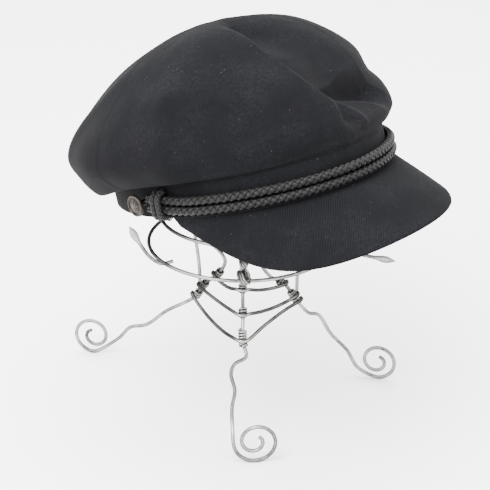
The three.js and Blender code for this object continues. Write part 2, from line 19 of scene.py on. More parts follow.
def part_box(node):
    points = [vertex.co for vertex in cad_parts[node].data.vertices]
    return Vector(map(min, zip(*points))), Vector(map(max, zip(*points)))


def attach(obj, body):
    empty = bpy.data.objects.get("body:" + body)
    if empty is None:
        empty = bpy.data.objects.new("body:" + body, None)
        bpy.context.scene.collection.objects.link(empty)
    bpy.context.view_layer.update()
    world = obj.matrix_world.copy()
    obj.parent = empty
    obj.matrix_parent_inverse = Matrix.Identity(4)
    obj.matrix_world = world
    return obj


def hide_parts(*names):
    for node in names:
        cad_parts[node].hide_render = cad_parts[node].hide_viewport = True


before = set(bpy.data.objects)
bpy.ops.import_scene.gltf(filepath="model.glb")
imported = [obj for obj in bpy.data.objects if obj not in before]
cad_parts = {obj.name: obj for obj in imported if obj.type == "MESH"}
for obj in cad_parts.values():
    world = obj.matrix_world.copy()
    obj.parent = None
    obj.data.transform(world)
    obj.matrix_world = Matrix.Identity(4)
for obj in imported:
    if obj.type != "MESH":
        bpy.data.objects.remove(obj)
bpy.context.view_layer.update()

LOG = logging.getLogger("cap")
BODY = "root"
MM = 0.001
UP = np.array([0.0, 0.0, 1.0])


class Slot(Enum):
    """Material slots of the record."""

    CLOTH = "cloth"
    CORD = "cord"
    BUTTON = "button"
    WIRE = "wire"


class Side(Enum):
    """The wearer's two sides, as the sign of a bearing."""

    RIGHT = -1
    LEFT = 1


# Curves and grids


def smooth(value: np.ndarray, low: float, high: float) -> np.ndarray:
    """Eased step from 0 at low to 1 at high: 3t^2 - 2t^3 of the clipped share t."""
    t = np.clip((np.asarray(value, float) - low) / (high - low), 0.0, 1.0)
    return t * t * (3.0 - 2.0 * t)


def unit(vectors: np.ndarray) -> np.ndarray:
    """Vectors divided by their lengths."""
    return vectors / np.maximum(np.linalg.norm(vectors, axis=-1, keepdims=True), 1e-12)


def polar(radius: np.ndarray, bearing: np.ndarray, z: np.ndarray) -> np.ndarray:
    """Points at a radius and a bearing from the front, in degrees, positive to the left.

    Args:
        radius: Distance from the upright axis.
        bearing: Angle from -Y towards +X, in degrees.
        z: Height.

    Returns:
        Points (r sin b, -r cos b, z), with the inputs' broadcast shape plus 3.
    """
    a = np.radians(bearing)
    return np.stack(np.broadcast_arrays(radius * np.sin(a), -radius * np.cos(a), z), -1)


def hermite(a: np.ndarray, b: np.ndarray, c: np.ndarray, d: np.ndarray, t: np.ndarray) -> np.ndarray:
    """Cubic from b to c whose end slopes are half of c - a and of d - b.

    Args:
        a: Value before the span.
        b: Value at its start.
        c: Value at its end.
        d: Value after it.
        t: Share of the way, 0 to 1.

    Returns:
        The value at t.
    """
    t2, t3 = t * t, t * t * t
    held = (2 * t3 - 3 * t2 + 1) * b + (3 * t2 - 2 * t3) * c
    return held + (t3 - 2 * t2 + t) * (c - a) / 2 + (t3 - t2) * (d - b) / 2


def four_from(values: np.ndarray, first: np.ndarray) -> list[np.ndarray]:
    """Four neighbouring layers of values, from the layer that first names for each place."""
    return [np.take_along_axis(values, (first + n)[None], 0)[0] for n in range(4)]


def read_at(rows: np.ndarray, place: np.ndarray) -> np.ndarray:
    """Rows of three numbers read at fractional places by straight interpolation."""
    return np.stack([np.interp(place, np.arange(len(rows)), rows[:, i]) for i in range(3)], 1)


def curve(knots: np.ndarray, step: float, closed: bool = False) -> np.ndarray:
    """Centripetal Catmull-Rom curve through knots, sampled evenly along its length.

    Each span is the Hermite cubic whose slopes come from the knots on both sides, weighted by
    the square roots of the distances between them.

    Args:
        knots: Points to pass through, one a row.
        step: Distance between samples.
        closed: Whether the last knot joins the first.

    Returns:
        The sampled points. A closed curve doesn't repeat its first point.
    """
    k = np.asarray(knots, float)
    if closed:
        p = np.concatenate([k[-1:], k, k[:2]])
    else:
        p = np.concatenate([2 * k[:1] - k[1:2], k, 2 * k[-1:] - k[-2:-1]])
    p0, p1, p2, p3 = p[:-3], p[1:-2], p[2:-1], p[3:]
    pairs = ((p0, p1), (p1, p2), (p2, p3))
    span = [np.sqrt(np.linalg.norm(b - a, axis=1))[:, None] for a, b in pairs]
    m1 = (p1 - p0) / span[0] - (p2 - p0) / (span[0] + span[1]) + (p2 - p1) / span[1]
    m2 = (p2 - p1) / span[1] - (p3 - p1) / (span[1] + span[2]) + (p3 - p2) / span[2]
    t = np.linspace(0, 1, 40, endpoint=False)[None, :, None]
    t2, t3 = t * t, t * t * t
    fine = (2 * t3 - 3 * t2 + 1) * p1[:, None] + (3 * t2 - 2 * t3) * p2[:, None]
    fine = fine + (t3 - 2 * t2 + t) * (m1 * span[1])[:, None] + (t3 - t2) * (m2 * span[1])[:, None]
    fine = np.concatenate([fine.reshape(-1, k.shape[1]), k[:1] if closed else k[-1:]])
    length = np.concatenate([[0], np.cumsum(np.linalg.norm(np.diff(fine, axis=0), axis=1))])
    count = max(4, int(round(length[-1] / step)))
    even = np.linspace(0, length[-1], count + 1)
    out = np.stack([np.interp(even, length, fine[:, i]) for i in range(k.shape[1])], 1)
    return out[:-1] if closed else out


def frames(path: np.ndarray, closed: bool = False) -> tuple[np.ndarray, np.ndarray, np.ndarray]:
    """Directions along and across a path, turned to one fixed direction that it never follows.

    Args:
        path: Points of the path.
        closed: Whether the path joins its own start.

    Returns:
        Unit tangents, and two unit vectors square to them and to each other, at each point.
    """
    ahead = np.roll(path, -1, 0) - np.roll(path, 1, 0)
    if not closed:
        ahead[0], ahead[-1] = path[1] - path[0], path[-1] - path[-2]
    tangent = unit(ahead)
    i = np.arange(90) + 0.5
    lift, turn = 1 - i / 90, i * 2.399963
    flat = np.sqrt(1 - lift * lift)
    tries = np.stack([flat * np.cos(turn), flat * np.sin(turn), lift], 1)
    best = tries[np.abs(tangent @ tries.T).max(0).argmin()]
    first = unit(np.cross(tangent, best))
    return tangent, first, np.cross(tangent, first)


def sweep(path: np.ndarray, radius: np.ndarray, sides: int, closed: bool = False) -> np.ndarray:
    """Rings of a round section carried along a path, brought to a point at each open end.

    Args:
        path: Points of the centre line.
        radius: Radius of the section, one for all or one for each point.
        sides: Points round the section.
        closed: Whether the path joins its own start.

    Returns:
        Points, rings by sides by 3.
    """
    _, first, second = frames(path, closed)
    size = np.broadcast_to(np.asarray(radius, float), (len(path),)).copy()
    if not closed:
        path = np.concatenate([path[:1], path, path[-1:]])
        first, second = (np.concatenate([v[:1], v, v[-1:]]) for v in (first, second))
        size = np.concatenate([[0.0], size, [0.0]])
    a = np.linspace(0, 2 * np.pi, sides, endpoint=False)[None, :, None]
    ring = first[:, None] * np.cos(a) + second[:, None] * np.sin(a)
    return path[:, None] + size[:, None, None] * ring


@dataclass
class Patch:
    """A grid of points that becomes quads of a mesh.

    Attributes:
        points: Rows by columns by 3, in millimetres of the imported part's frame.
        wrap_rows: Whether the last row joins the first.
        wrap_columns: Whether the last column joins the first.
        uv: Optional surface coordinates in millimetres, one more row or column where it wraps.
        gap_after: Row after which no faces are made, or None.
    """

    points: np.ndarray
    wrap_rows: bool = False
    wrap_columns: bool = True
    uv: Optional[np.ndarray] = None
    gap_after: Optional[int] = None

    def faces(self) -> tuple[np.ndarray, np.ndarray]:
        """Corner numbers of the quads, and the same corners as numbers in the uv grid.

        Returns:
            Both sets of corners, four to a row.
        """
        m, n = self.points.shape[:2]
        rows = np.arange(m if self.wrap_rows else m - 1)
        if self.gap_after is not None:
            rows = rows[rows != self.gap_after]
        i, j = np.meshgrid(rows, np.arange(n if self.wrap_columns else n - 1), indexing="ij")
        corners = [(i, j), (i, j + 1), (i + 1, j + 1), (i + 1, j)]
        quads = np.stack([(a % m) * n + b % n for a, b in corners], -1).reshape(-1, 4)
        wide = n + 1 if self.wrap_columns else n
        return quads, np.stack([a * wide + b for a, b in corners], -1).reshape(-1, 4)


def make_mesh(name: str, patches: Sequence[Patch], weld: bool = True) -> bpy.types.Object:
    """Puts patches into one mesh object with smooth faces that point outwards.

    A patch whose signed volume, the sum of its quads' wedges about its own middle, is negative
    is turned over.

    Args:
        name: Name of the piece.
        patches: Grids of points in millimetres.
        weld: Whether to join points that coincide, such as poles and pinched ends.

    Returns:
        The new object, at the origin.
    """
    points, quads, coords, start = [], [], [], 0
    for patch in patches:
        flat = patch.points.reshape(-1, 3)
        faces, uv_ids = patch.faces()
        c = flat[faces] - flat.mean(0)
        wedge = np.einsum("ij,ij->i", c[:, 0], np.cross(c[:, 1], c[:, 2]))
        wedge += np.einsum("ij,ij->i", c[:, 0], np.cross(c[:, 2], c[:, 3]))
        if wedge.sum() < 0:
            faces, uv_ids = faces[:, ::-1], uv_ids[:, ::-1]
        points.append(flat)
        quads.append(faces + start)
        start += len(flat)
        if patch.uv is None:
            coords.append(np.zeros((faces.size, 2)))
        else:
            coords.append(patch.uv.reshape(-1, 2)[uv_ids.reshape(-1)])
    place, loops = np.concatenate(points) * MM, np.concatenate(quads)
    mesh = bpy.data.meshes.new(name)
    mesh.vertices.add(len(place))
    mesh.vertices.foreach_set("co", place.astype(np.float32).ravel())
    mesh.loops.add(loops.size)
    mesh.loops.foreach_set("vertex_index", loops.astype(np.int32).ravel())
    mesh.polygons.add(len(loops))
    mesh.polygons.foreach_set("loop_start", np.arange(0, loops.size, 4, dtype=np.int32))
    layer = mesh.uv_layers.new(name="cloth")
    layer.data.foreach_set("uv", (np.concatenate(coords) * MM).astype(np.float32).ravel())
    mesh.update(calc_edges=True)
    mesh.validate()
    if weld:
        work = bmesh.new()
        work.from_mesh(mesh)
        bmesh.ops.remove_doubles(work, verts=work.verts, dist=1e-6)
        work.to_mesh(mesh)
        work.free()
    mesh.polygons.foreach_set("use_smooth", np.ones(len(mesh.polygons), bool))
    piece = bpy.data.objects.new(name, mesh)
    bpy.context.scene.collection.objects.link(piece)
    return piece


def settle(piece: bpy.types.Object, slot: Slot, material: bpy.types.Material, *nodes: str) -> None:
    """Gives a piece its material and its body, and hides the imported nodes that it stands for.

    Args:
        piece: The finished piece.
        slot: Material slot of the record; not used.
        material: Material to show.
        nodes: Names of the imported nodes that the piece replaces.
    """
    piece.data.materials.clear()
    piece.data.materials.append(material)
    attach(piece, BODY)
    if nodes:
        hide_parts(*nodes)
    LOG.info("%s: %d faces, stands for %s", piece.name, len(piece.data.polygons), nodes or "nothing")


# Finishes


@dataclass
class Nodes:
    """A node tree under construction."""

    tree: bpy.types.NodeTree

    def add(self, kind: str, inputs: Optional[dict] = None, **settings: object) -> bpy.types.Node:
        """Adds a node, sets its properties, and links or sets its inputs.

        Args:
            kind: Blender's name of the node type.
            inputs: Socket names or numbers, with a value or an output socket for each.
            settings: Properties of the node.

        Returns:
            The new node.
        """
        node = self.tree.nodes.new(kind)
        for key, value in settings.items():
            setattr(node, key, value)
        for key, value in (inputs or {}).items():
            self.join(node.inputs[key], value)
        return node

    def math(self, operation: str, a: object, b: object = 0.0) -> bpy.types.NodeSocket:
        """Output of a Math node on two values or sockets."""
        return self.add("ShaderNodeMath", {0: a, 1: b}, operation=operation).outputs[0]

    def ramp(self, value: object, low: float, high: float) -> bpy.types.NodeSocket:
        """Output of a smooth Map Range from low to high onto 0 to 1.

        Args:
            value: Value or socket to map.
            low: Value that becomes 0.
            high: Value that becomes 1.

        Returns:
            The mapped socket.
        """
        inputs = {"Value": value, "From Min": low, "From Max": high}
        kind = "ShaderNodeMapRange"
        return self.add(kind, inputs, interpolation_type="SMOOTHSTEP").outputs["Result"]

    def noise(self, vector: object, scale: float, detail: float = 3.0) -> bpy.types.NodeSocket:
        """Output of a Noise Texture read at a vector."""
        inputs = {"Vector": vector, "Scale": scale, "Detail": detail}
        return self.add("ShaderNodeTexNoise", inputs).outputs["Fac"]

    def blend(self, a: object, share_a: float, b: object, share_b: float) -> bpy.types.NodeSocket:
        """Sum of two sockets, each times its share."""
        first = self.math("MULTIPLY", a, share_a)
        return self.math("ADD", first, self.math("MULTIPLY", b, share_b))

    def bump(self, height: object, strength: float, distance: float) -> bpy.types.Node:
        """Bump node for a height."""
        inputs = {"Height": height, "Strength": strength, "Distance": distance}
        return self.add("ShaderNodeBump", inputs)

    def spread(self, value: object, low: float, high: float) -> bpy.types.NodeSocket:
        """Output of a straight Map Range from 0 to 1 onto low to high.

        Args:
            value: Socket to map.
            low: Result at 0.
            high: Result at 1.

        Returns:
            The mapped socket.
        """
        inputs = {"Value": value, "To Min": low, "To Max": high}
        return self.add("ShaderNodeMapRange", inputs).outputs["Result"]

    def mottled(self, scale: float) -> bpy.types.Node:
        """Mottle group at a scale, read at Object coordinates.

        Args:
            scale: Scale of its clouds.

        Returns:
            The group's node.
        """
        body = self.add("ShaderNodeTexCoord").outputs["Object"]
        node = self.add("ShaderNodeGroup", node_tree=MOTTLE)
        self.join(node.inputs["Vector"], body)
        self.join(node.inputs["Scale"], scale)
        return node

    def join(self, socket: bpy.types.NodeSocket, value: object) -> None:
        """Links a value's output to a socket, or sets the value on it.

        Args:
            socket: Input socket.
            value: Output socket or plain value.
        """
        if isinstance(value, bpy.types.NodeSocket):
            self.tree.links.new(value, socket)
        else:
            socket.default_value = value

    def mix(self, share: object, a: object, b: object) -> bpy.types.NodeSocket:
        """Colour output of a Mix node between two colours.

        Args:
            share: Share of b.
            a: Colour or socket at share 0.
            b: Colour or socket at share 1.

        Returns:
            The mixed colour.
        """
        node = self.add("ShaderNodeMix", data_type="RGBA")
        for socket, value in ((node.inputs[0], share), (node.inputs[6], a), (node.inputs[7], b)):
            self.join(socket, value)
        return node.outputs[2]


def new_group(name: str, inputs: dict[str, str], outputs: dict[str, str]) -> tuple[Nodes, dict, dict]:
    """Starts a shader node group.

    Args:
        name: Name of the group.
        inputs: Socket type of each named input.
        outputs: Socket type of each named output.

    Returns:
        The group's nodes, the sockets that bring its inputs and the sockets that take its outputs.
    """
    tree = bpy.data.node_groups.new(name, "ShaderNodeTree")
    for way, sockets in (("INPUT", inputs), ("OUTPUT", outputs)):
        for key, kind in sockets.items():
            tree.interface.new_socket(name=key, in_out=way, socket_type=kind)
    source = tree.nodes.new("NodeGroupInput")
    target = tree.nodes.new("NodeGroupOutput")
    return Nodes(tree), {k: source.outputs[k] for k in inputs}, {k: target.inputs[k] for k in outputs}


FLOAT, VECTOR = "NodeSocketFloat", "NodeSocketVector"
RIB_COS, RIB_SIN = 0.86, 0.51  # direction across the twill's ribs


def twill_group() -> bpy.types.NodeTree:
    """Twill weave: slanting ribs crossed by yarns, with fuzz.

    The ribs are |sin| of a slanting distance over the pitch, cut into short floats by a second
    sine along the rib that is put out of step by a noise.

    Returns:
        The group, with a Vector in metres and a Pitch, and Height out, and a tone out that is painted
        shade where the ribs and yarns are low, with random fuzz.
    """
    nodes, have, give = new_group(
        "twill", {"Vector": VECTOR, "Pitch": FLOAT}, {"Height": FLOAT, "Tone": FLOAT}
    )
    parts = nodes.add("ShaderNodeSeparateXYZ", {"Vector": have["Vector"]}).outputs
    x, y = parts["X"], parts["Y"]
    wander = nodes.math("MULTIPLY", nodes.noise(have["Vector"], 60.0), 0.0016)
    slant = nodes.blend(x, RIB_COS, y, RIB_SIN)
    slant = nodes.math("DIVIDE", nodes.math("ADD", slant, wander), have["Pitch"])
    rib = nodes.math("ABSOLUTE", nodes.math("SINE", nodes.math("MULTIPLY", slant, math.pi)))
    along = nodes.math("ADD", nodes.blend(y, RIB_COS, x, -RIB_SIN), wander)
    along = nodes.math("DIVIDE", along, nodes.math("MULTIPLY", have["Pitch"], 1.7))
    thread = nodes.math("SINE", nodes.math("MULTIPLY", nodes.math("ADD", along, slant), 2 * math.pi))
    fuzz = nodes.noise(have["Vector"], 2600.0, 4.0)
    height = nodes.blend(rib, 0.7, thread, 0.12)
    nodes.tree.links.new(nodes.blend(height, 1.0, fuzz, 0.35), give["Height"])
    # Painted shade: the tone is dark where the ribs and yarns are low and light where they are high,
    # plus random fuzz.
    tone = nodes.blend(rib, 0.55, thread, 0.11)
    nodes.tree.links.new(nodes.blend(tone, 1.0, fuzz, 0.45), give["Tone"])
    return nodes.tree


def mottle_group() -> bpy.types.NodeTree:
    """Uneven tone: broad clouds and fine grain of noise at one scale.

    Returns:
        The group, with a Vector and a Scale, and Cloud, Grain and Speck out.
    """
    nodes, have, give = new_group(
        "mottle", {"Vector": VECTOR, "Scale": FLOAT}, {"Cloud": FLOAT, "Grain": FLOAT, "Speck": FLOAT}
    )
    cloud = nodes.noise(have["Vector"], have["Scale"], 4.0)
    grain = nodes.noise(have["Vector"], nodes.math("MULTIPLY", have["Scale"], 14.0), 3.0)
    speck = nodes.noise(have["Vector"], nodes.math("MULTIPLY", have["Scale"], 15.0), 1.0)
    nodes.tree.links.new(nodes.ramp(cloud, 0.3, 0.7), give["Cloud"])
    nodes.tree.links.new(nodes.ramp(grain, 0.3, 0.7), give["Grain"])
    nodes.tree.links.new(nodes.ramp(speck, 0.74, 0.82), give["Speck"])
    return nodes.tree


TWILL = twill_group()
MOTTLE = mottle_group()


def start_material(name: str) -> tuple[Nodes, bpy.types.Node]:
    """Makes a material and returns its nodes and its Principled BSDF.

    Args:
        name: Name of the material.

    Returns:
        The material's nodes and its shader.
    """
    material = bpy.data.materials.new(name)
    material.use_nodes = True
    return Nodes(material.node_tree), material.node_tree.nodes["Principled BSDF"]


def link(nodes: Nodes, shader: bpy.types.Node, **sockets: object) -> None:
    """Links sockets to the shader's inputs, or sets values on them; _ stands for a space.

    Args:
        nodes: Nodes of the material.
        shader: Its Principled BSDF.
        sockets: A socket or a value for each input.
    """
    for key, value in sockets.items():
        nodes.join(shader.inputs[key.replace("_", " ")], value)


@dataclass(frozen=True)
class TwillCloth:
    """Washed dark cotton twill.

    Attributes:
        name: Name of the material.
        low: Colour between the ribs, where shade is painted.
        high: Colour on the ribs, where light is painted.
        faded: Colour where it is worn.
        lint: Colour of specks of lint.
        pitch: Distance between ribs, in metres.
        bump: Height of the weave in the bump, in metres.
        crumple: Height of the small crumples in the bump, in metres.
        mottle: Scale of the worn clouds.
        fade_share: Most that the cloth fades where it is worn.
        lint_share: How far a speck of lint covers the cloth.
        roughness: Roughness of the cloth.
    """

    name: str = "twill_cloth"
    low: tuple = (0.0012, 0.00123, 0.00145, 1)
    high: tuple = (0.0055, 0.0056, 0.0066, 1)
    faded: tuple = (0.0125, 0.0126, 0.0142, 1)
    lint: tuple = (0.05, 0.05, 0.05, 1)
    pitch: float = 0.0012
    bump: float = 0.00017
    crumple: float = 0.0016
    mottle: float = 38.0
    fade_share: float = 0.3
    lint_share: float = 0.45
    roughness: float = 0.93

    def material(self) -> bpy.types.Material:
        """Builds the material: weave with painted shade between its ribs on the piece's own map, clouds
        and lint on Object.

        Returns:
            The new material.
        """
        nodes, shader = start_material(self.name)
        own = nodes.add("ShaderNodeUVMap", uv_map="cloth").outputs["UV"]
        body = nodes.add("ShaderNodeTexCoord").outputs["Object"]
        weave = nodes.add("ShaderNodeGroup", node_tree=TWILL)
        nodes.join(weave.inputs["Vector"], own)
        nodes.join(weave.inputs["Pitch"], self.pitch)
        worn = nodes.mottled(self.mottle)
        # Painted shade between the ribs and painted light on them, from the weave's tone, with random
        # fuzz.
        colour = nodes.mix(weave.outputs["Tone"], self.low, self.high)
        patchy = nodes.math("MULTIPLY", worn.outputs["Cloud"], worn.outputs["Grain"])
        colour = nodes.mix(nodes.math("MULTIPLY", patchy, self.fade_share), colour, self.faded)
        specks = nodes.math("MULTIPLY", worn.outputs["Speck"], self.lint_share)
        colour = nodes.mix(specks, colour, self.lint)
        soft = nodes.noise(body, 55.0, 3.0)
        crumples = nodes.bump(soft, 0.35, self.crumple)
        fine = nodes.bump(weave.outputs["Height"], 0.6, self.bump)
        nodes.join(fine.inputs["Normal"], crumples.outputs["Normal"])
        link(nodes, shader, Base_Color=colour, Normal=fine.outputs["Normal"], Roughness=self.roughness)
        link(nodes, shader, Sheen_Weight=0.008, Sheen_Roughness=0.5, Specular_IOR_Level=0.03)
        return bpy.data.materials[self.name]


@dataclass(frozen=True)
class BraidedYarn:
    """Dark glossy yarn of the plaited cords.

    Attributes:
        name: Name of the material.
        low: Colour in the hollows.
        high: Colour of the fibres that catch the light.
        fibre: Scale of the fibres' noise.
        mottle: Scale of the uneven tone.
        bump: Height of the fibres in the bump, in metres.
        roughness: Roughness of the yarn.
    """

    name: str = "braided_yarn"
    low: tuple = (0.0014, 0.0014, 0.0015, 1)
    high: tuple = (0.0092, 0.0091, 0.0091, 1)
    fibre: float = 3200.0
    mottle: float = 90.0
    bump: float = 0.00012
    roughness: float = 0.5

    def material(self) -> bpy.types.Material:
        """Builds the material: fibres run along each strand on the piece's own map.

        Returns:
            The new material.
        """
        nodes, shader = start_material(self.name)
        own = nodes.add("ShaderNodeUVMap", uv_map="cloth").outputs["UV"]
        long = nodes.add("ShaderNodeMapping", {"Vector": own, "Scale": (0.16, 1.0, 1.0)}).outputs[0]
        fibre = nodes.ramp(nodes.noise(long, self.fibre, 2.0), 0.3, 0.75)
        share = nodes.blend(fibre, 0.75, nodes.mottled(self.mottle).outputs["Cloud"], 0.2)
        normal = nodes.bump(fibre, 0.5, self.bump).outputs["Normal"]
        link(nodes, shader, Base_Color=nodes.mix(share, self.low, self.high), Normal=normal)
        link(nodes, shader, Roughness=self.roughness, Specular_IOR_Level=0.14)
        link(nodes, shader, Sheen_Weight=0.01, Sheen_Roughness=0.4)
        return bpy.data.materials[self.name]


@dataclass(frozen=True)
class AgedMetal:
    """Dull brown-grey metal of the buttons.

    Attributes:
        name: Name of the material.
        dark: Colour of the tarnish.
        bright: Colour of the rubbed metal.
        mottle: Scale of the marks.
        rough: Roughness at the two ends of the marks.
        bump: Height of the grain in the bump, in metres.
        metallic: How metallic it is.
    """

    name: str = "aged_button_metal"
    dark: tuple = (0.006, 0.0048, 0.0038, 1)
    bright: tuple = (0.052, 0.043, 0.0345, 1)
    mottle: float = 420.0
    rough: tuple = (0.38, 0.6)
    bump: float = 0.0001
    metallic: float = 0.85

    def material(self) -> bpy.types.Material:
        """Builds the material: tarnish by clouds, rubbed where the relief stands high.

        Returns:
            The new material.
        """
        nodes, shader = start_material(self.name)
        worn = nodes.mottled(self.mottle)
        relief = nodes.add("ShaderNodeAttribute", attribute_name="relief").outputs["Fac"]
        share = nodes.blend(relief, 0.6, worn.outputs["Cloud"], 0.4)
        rough = nodes.spread(worn.outputs["Grain"], *self.rough)
        normal = nodes.bump(worn.outputs["Grain"], 0.25, self.bump).outputs["Normal"]
        colour = nodes.mix(share, self.dark, self.bright)
        link(nodes, shader, Base_Color=colour, Metallic=self.metallic)
        link(nodes, shader, Roughness=rough, Normal=normal)
        return bpy.data.materials[self.name]


@dataclass(frozen=True)
class DrawnWire:
    """Bright steel wire with painted dark reflections in clouds and along its silhouette.

    Attributes:
        name: Name of the material.
        dark: Colour of the painted dark reflections in the clouds.
        bright: Colour of the clean wire.
        edge: Painted dark reflection where the wire curves away, also used as the specular tint.
        mottle: Scale of the clouds.
        rough: Roughness at the two ends of the clouds.
        bump: Height of the grain in the bump, in metres.
        metallic: How metallic it is.
    """

    name: str = "drawn_steel_wire"
    dark: tuple = (0.04, 0.039, 0.0365, 1)
    bright: tuple = (0.37, 0.368, 0.355, 1)
    edge: tuple = (0.010, 0.0095, 0.009, 1)
    mottle: float = 60.0
    rough: tuple = (0.42, 0.28)
    bump: float = 0.0001
    metallic: float = 0.72

    def material(self) -> bpy.types.Material:
        """Builds the material: clouds of dullness with painted dark reflections, a painted dark rim
        where it curves away, and fine drawing lines in the bump.

        Returns:
            The new material.
        """
        nodes, shader = start_material(self.name)
        worn = nodes.mottled(self.mottle)
        # Painted dark reflections: the dark colour laid in noise clouds, which are also rougher.
        share = nodes.blend(worn.outputs["Cloud"], 0.65, worn.outputs["Grain"], 0.35)
        rough = nodes.spread(worn.outputs["Cloud"], *self.rough)
        normal = nodes.bump(worn.outputs["Grain"], 0.15, self.bump).outputs["Normal"]
        # Painted dark reflection along the wire's silhouette, by the facing angle.
        away = nodes.add("ShaderNodeLayerWeight", {"Blend": 0.5}).outputs["Facing"]
        rim = nodes.ramp(away, 0.1, 0.62)
        colour = nodes.mix(rim, nodes.mix(share, self.dark, self.bright), self.edge)
        link(nodes, shader, Base_Color=colour, Metallic=self.metallic, Specular_Tint=self.edge)
        link(nodes, shader, Roughness=rough, Normal=normal)
        return bpy.data.materials[self.name]


# Where the cap and the stand are


@dataclass(frozen=True)
class Placing:
    """The stand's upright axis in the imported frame, and how the cap sits on the stand.

    Attributes:
        axis: Foot of the stand's axis, in millimetres.
        pitch: How far the cap is tipped back, in degrees.
        lean: How far it leans to the wearer's right, in degrees.
        rim: Middle of the cap's rim in the stand's frame.
    """

    axis: np.ndarray
    pitch: float = 15.7
    lean: float = 3.4
    rim: tuple = (0.0, -9.0, 165.0)

    def turn(self) -> np.ndarray:
        """Rotation from the cap's frame: Rx(-pitch) times Ry(-lean)."""
        tip = Matrix.Rotation(math.radians(-self.pitch), 3, "X")
        return np.array(tip @ Matrix.Rotation(math.radians(-self.lean), 3, "Y"))

    def cap(self, points: np.ndarray) -> np.ndarray:
        """Points of the cap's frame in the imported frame."""
        return points @ self.turn().T + np.array(self.rim) + self.axis

    def stand(self, points: np.ndarray) -> np.ndarray:
        """Points of the stand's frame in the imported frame."""
        return points + self.axis


@dataclass(frozen=True)
class BandOval:
    """The oval that the band follows.

    Attributes:
        half_width: Half axis across the head.
        half_length: Half axis from front to back.
        height: Height of the band.
        wall: Thickness of the band.
        gap: Clearance between neighbouring pieces.
    """

    half_width: float = 88.0
    half_length: float = 104.0
    height: float = 24.0
    wall: float = 2.4
    gap: float = 0.35

    def radius(self, bearing: np.ndarray, inset: float = 0.0) -> np.ndarray:
        """Radius of the ellipse at a bearing, with both half axes less by inset.

        Args:
            bearing: Degrees from the front.
            inset: How much both half axes are less.

        Returns:
            The radius at each bearing.
        """
        a = np.radians(bearing)
        s, c = np.sin(a) / (self.half_width - inset), np.cos(a) / (self.half_length - inset)
        return 1.0 / np.hypot(s, c)

    def out(self, bearing: np.ndarray) -> np.ndarray:
        """Unit vector square to the oval's face at a bearing.

        Args:
            bearing: Degrees from the front.

        Returns:
            A level unit vector at each bearing.
        """
        step = polar(self.radius(bearing + 0.5), bearing + 0.5, 0.0 * bearing)
        step = step - polar(self.radius(bearing - 0.5), bearing - 0.5, 0.0 * bearing)
        return unit(np.cross(unit(step), UP))

    def at(self, bearing: np.ndarray, lift: np.ndarray, z: np.ndarray) -> np.ndarray:
        """Points off the oval's face by a lift, at a height."""
        face = polar(self.radius(bearing), bearing, z)
        return face + self.out(bearing) * np.asarray(lift)[..., None]


# Sub-assemblies


@dataclass(frozen=True)
class Fold:
    """One fold of the crown along a line on its surface.

    Attributes:
        line: Knots of the line, each a bearing and a row.
        depth: How far it sinks the cloth; below 0 it raises it.
        near: Half width on the side of smaller bearings.
        far: Half width on the side of larger bearings.
        rests: Whether it adds to the other folds instead of taking the deepest.
    """

    line: tuple
    depth: float
    near: float
    far: float
    rests: bool = False


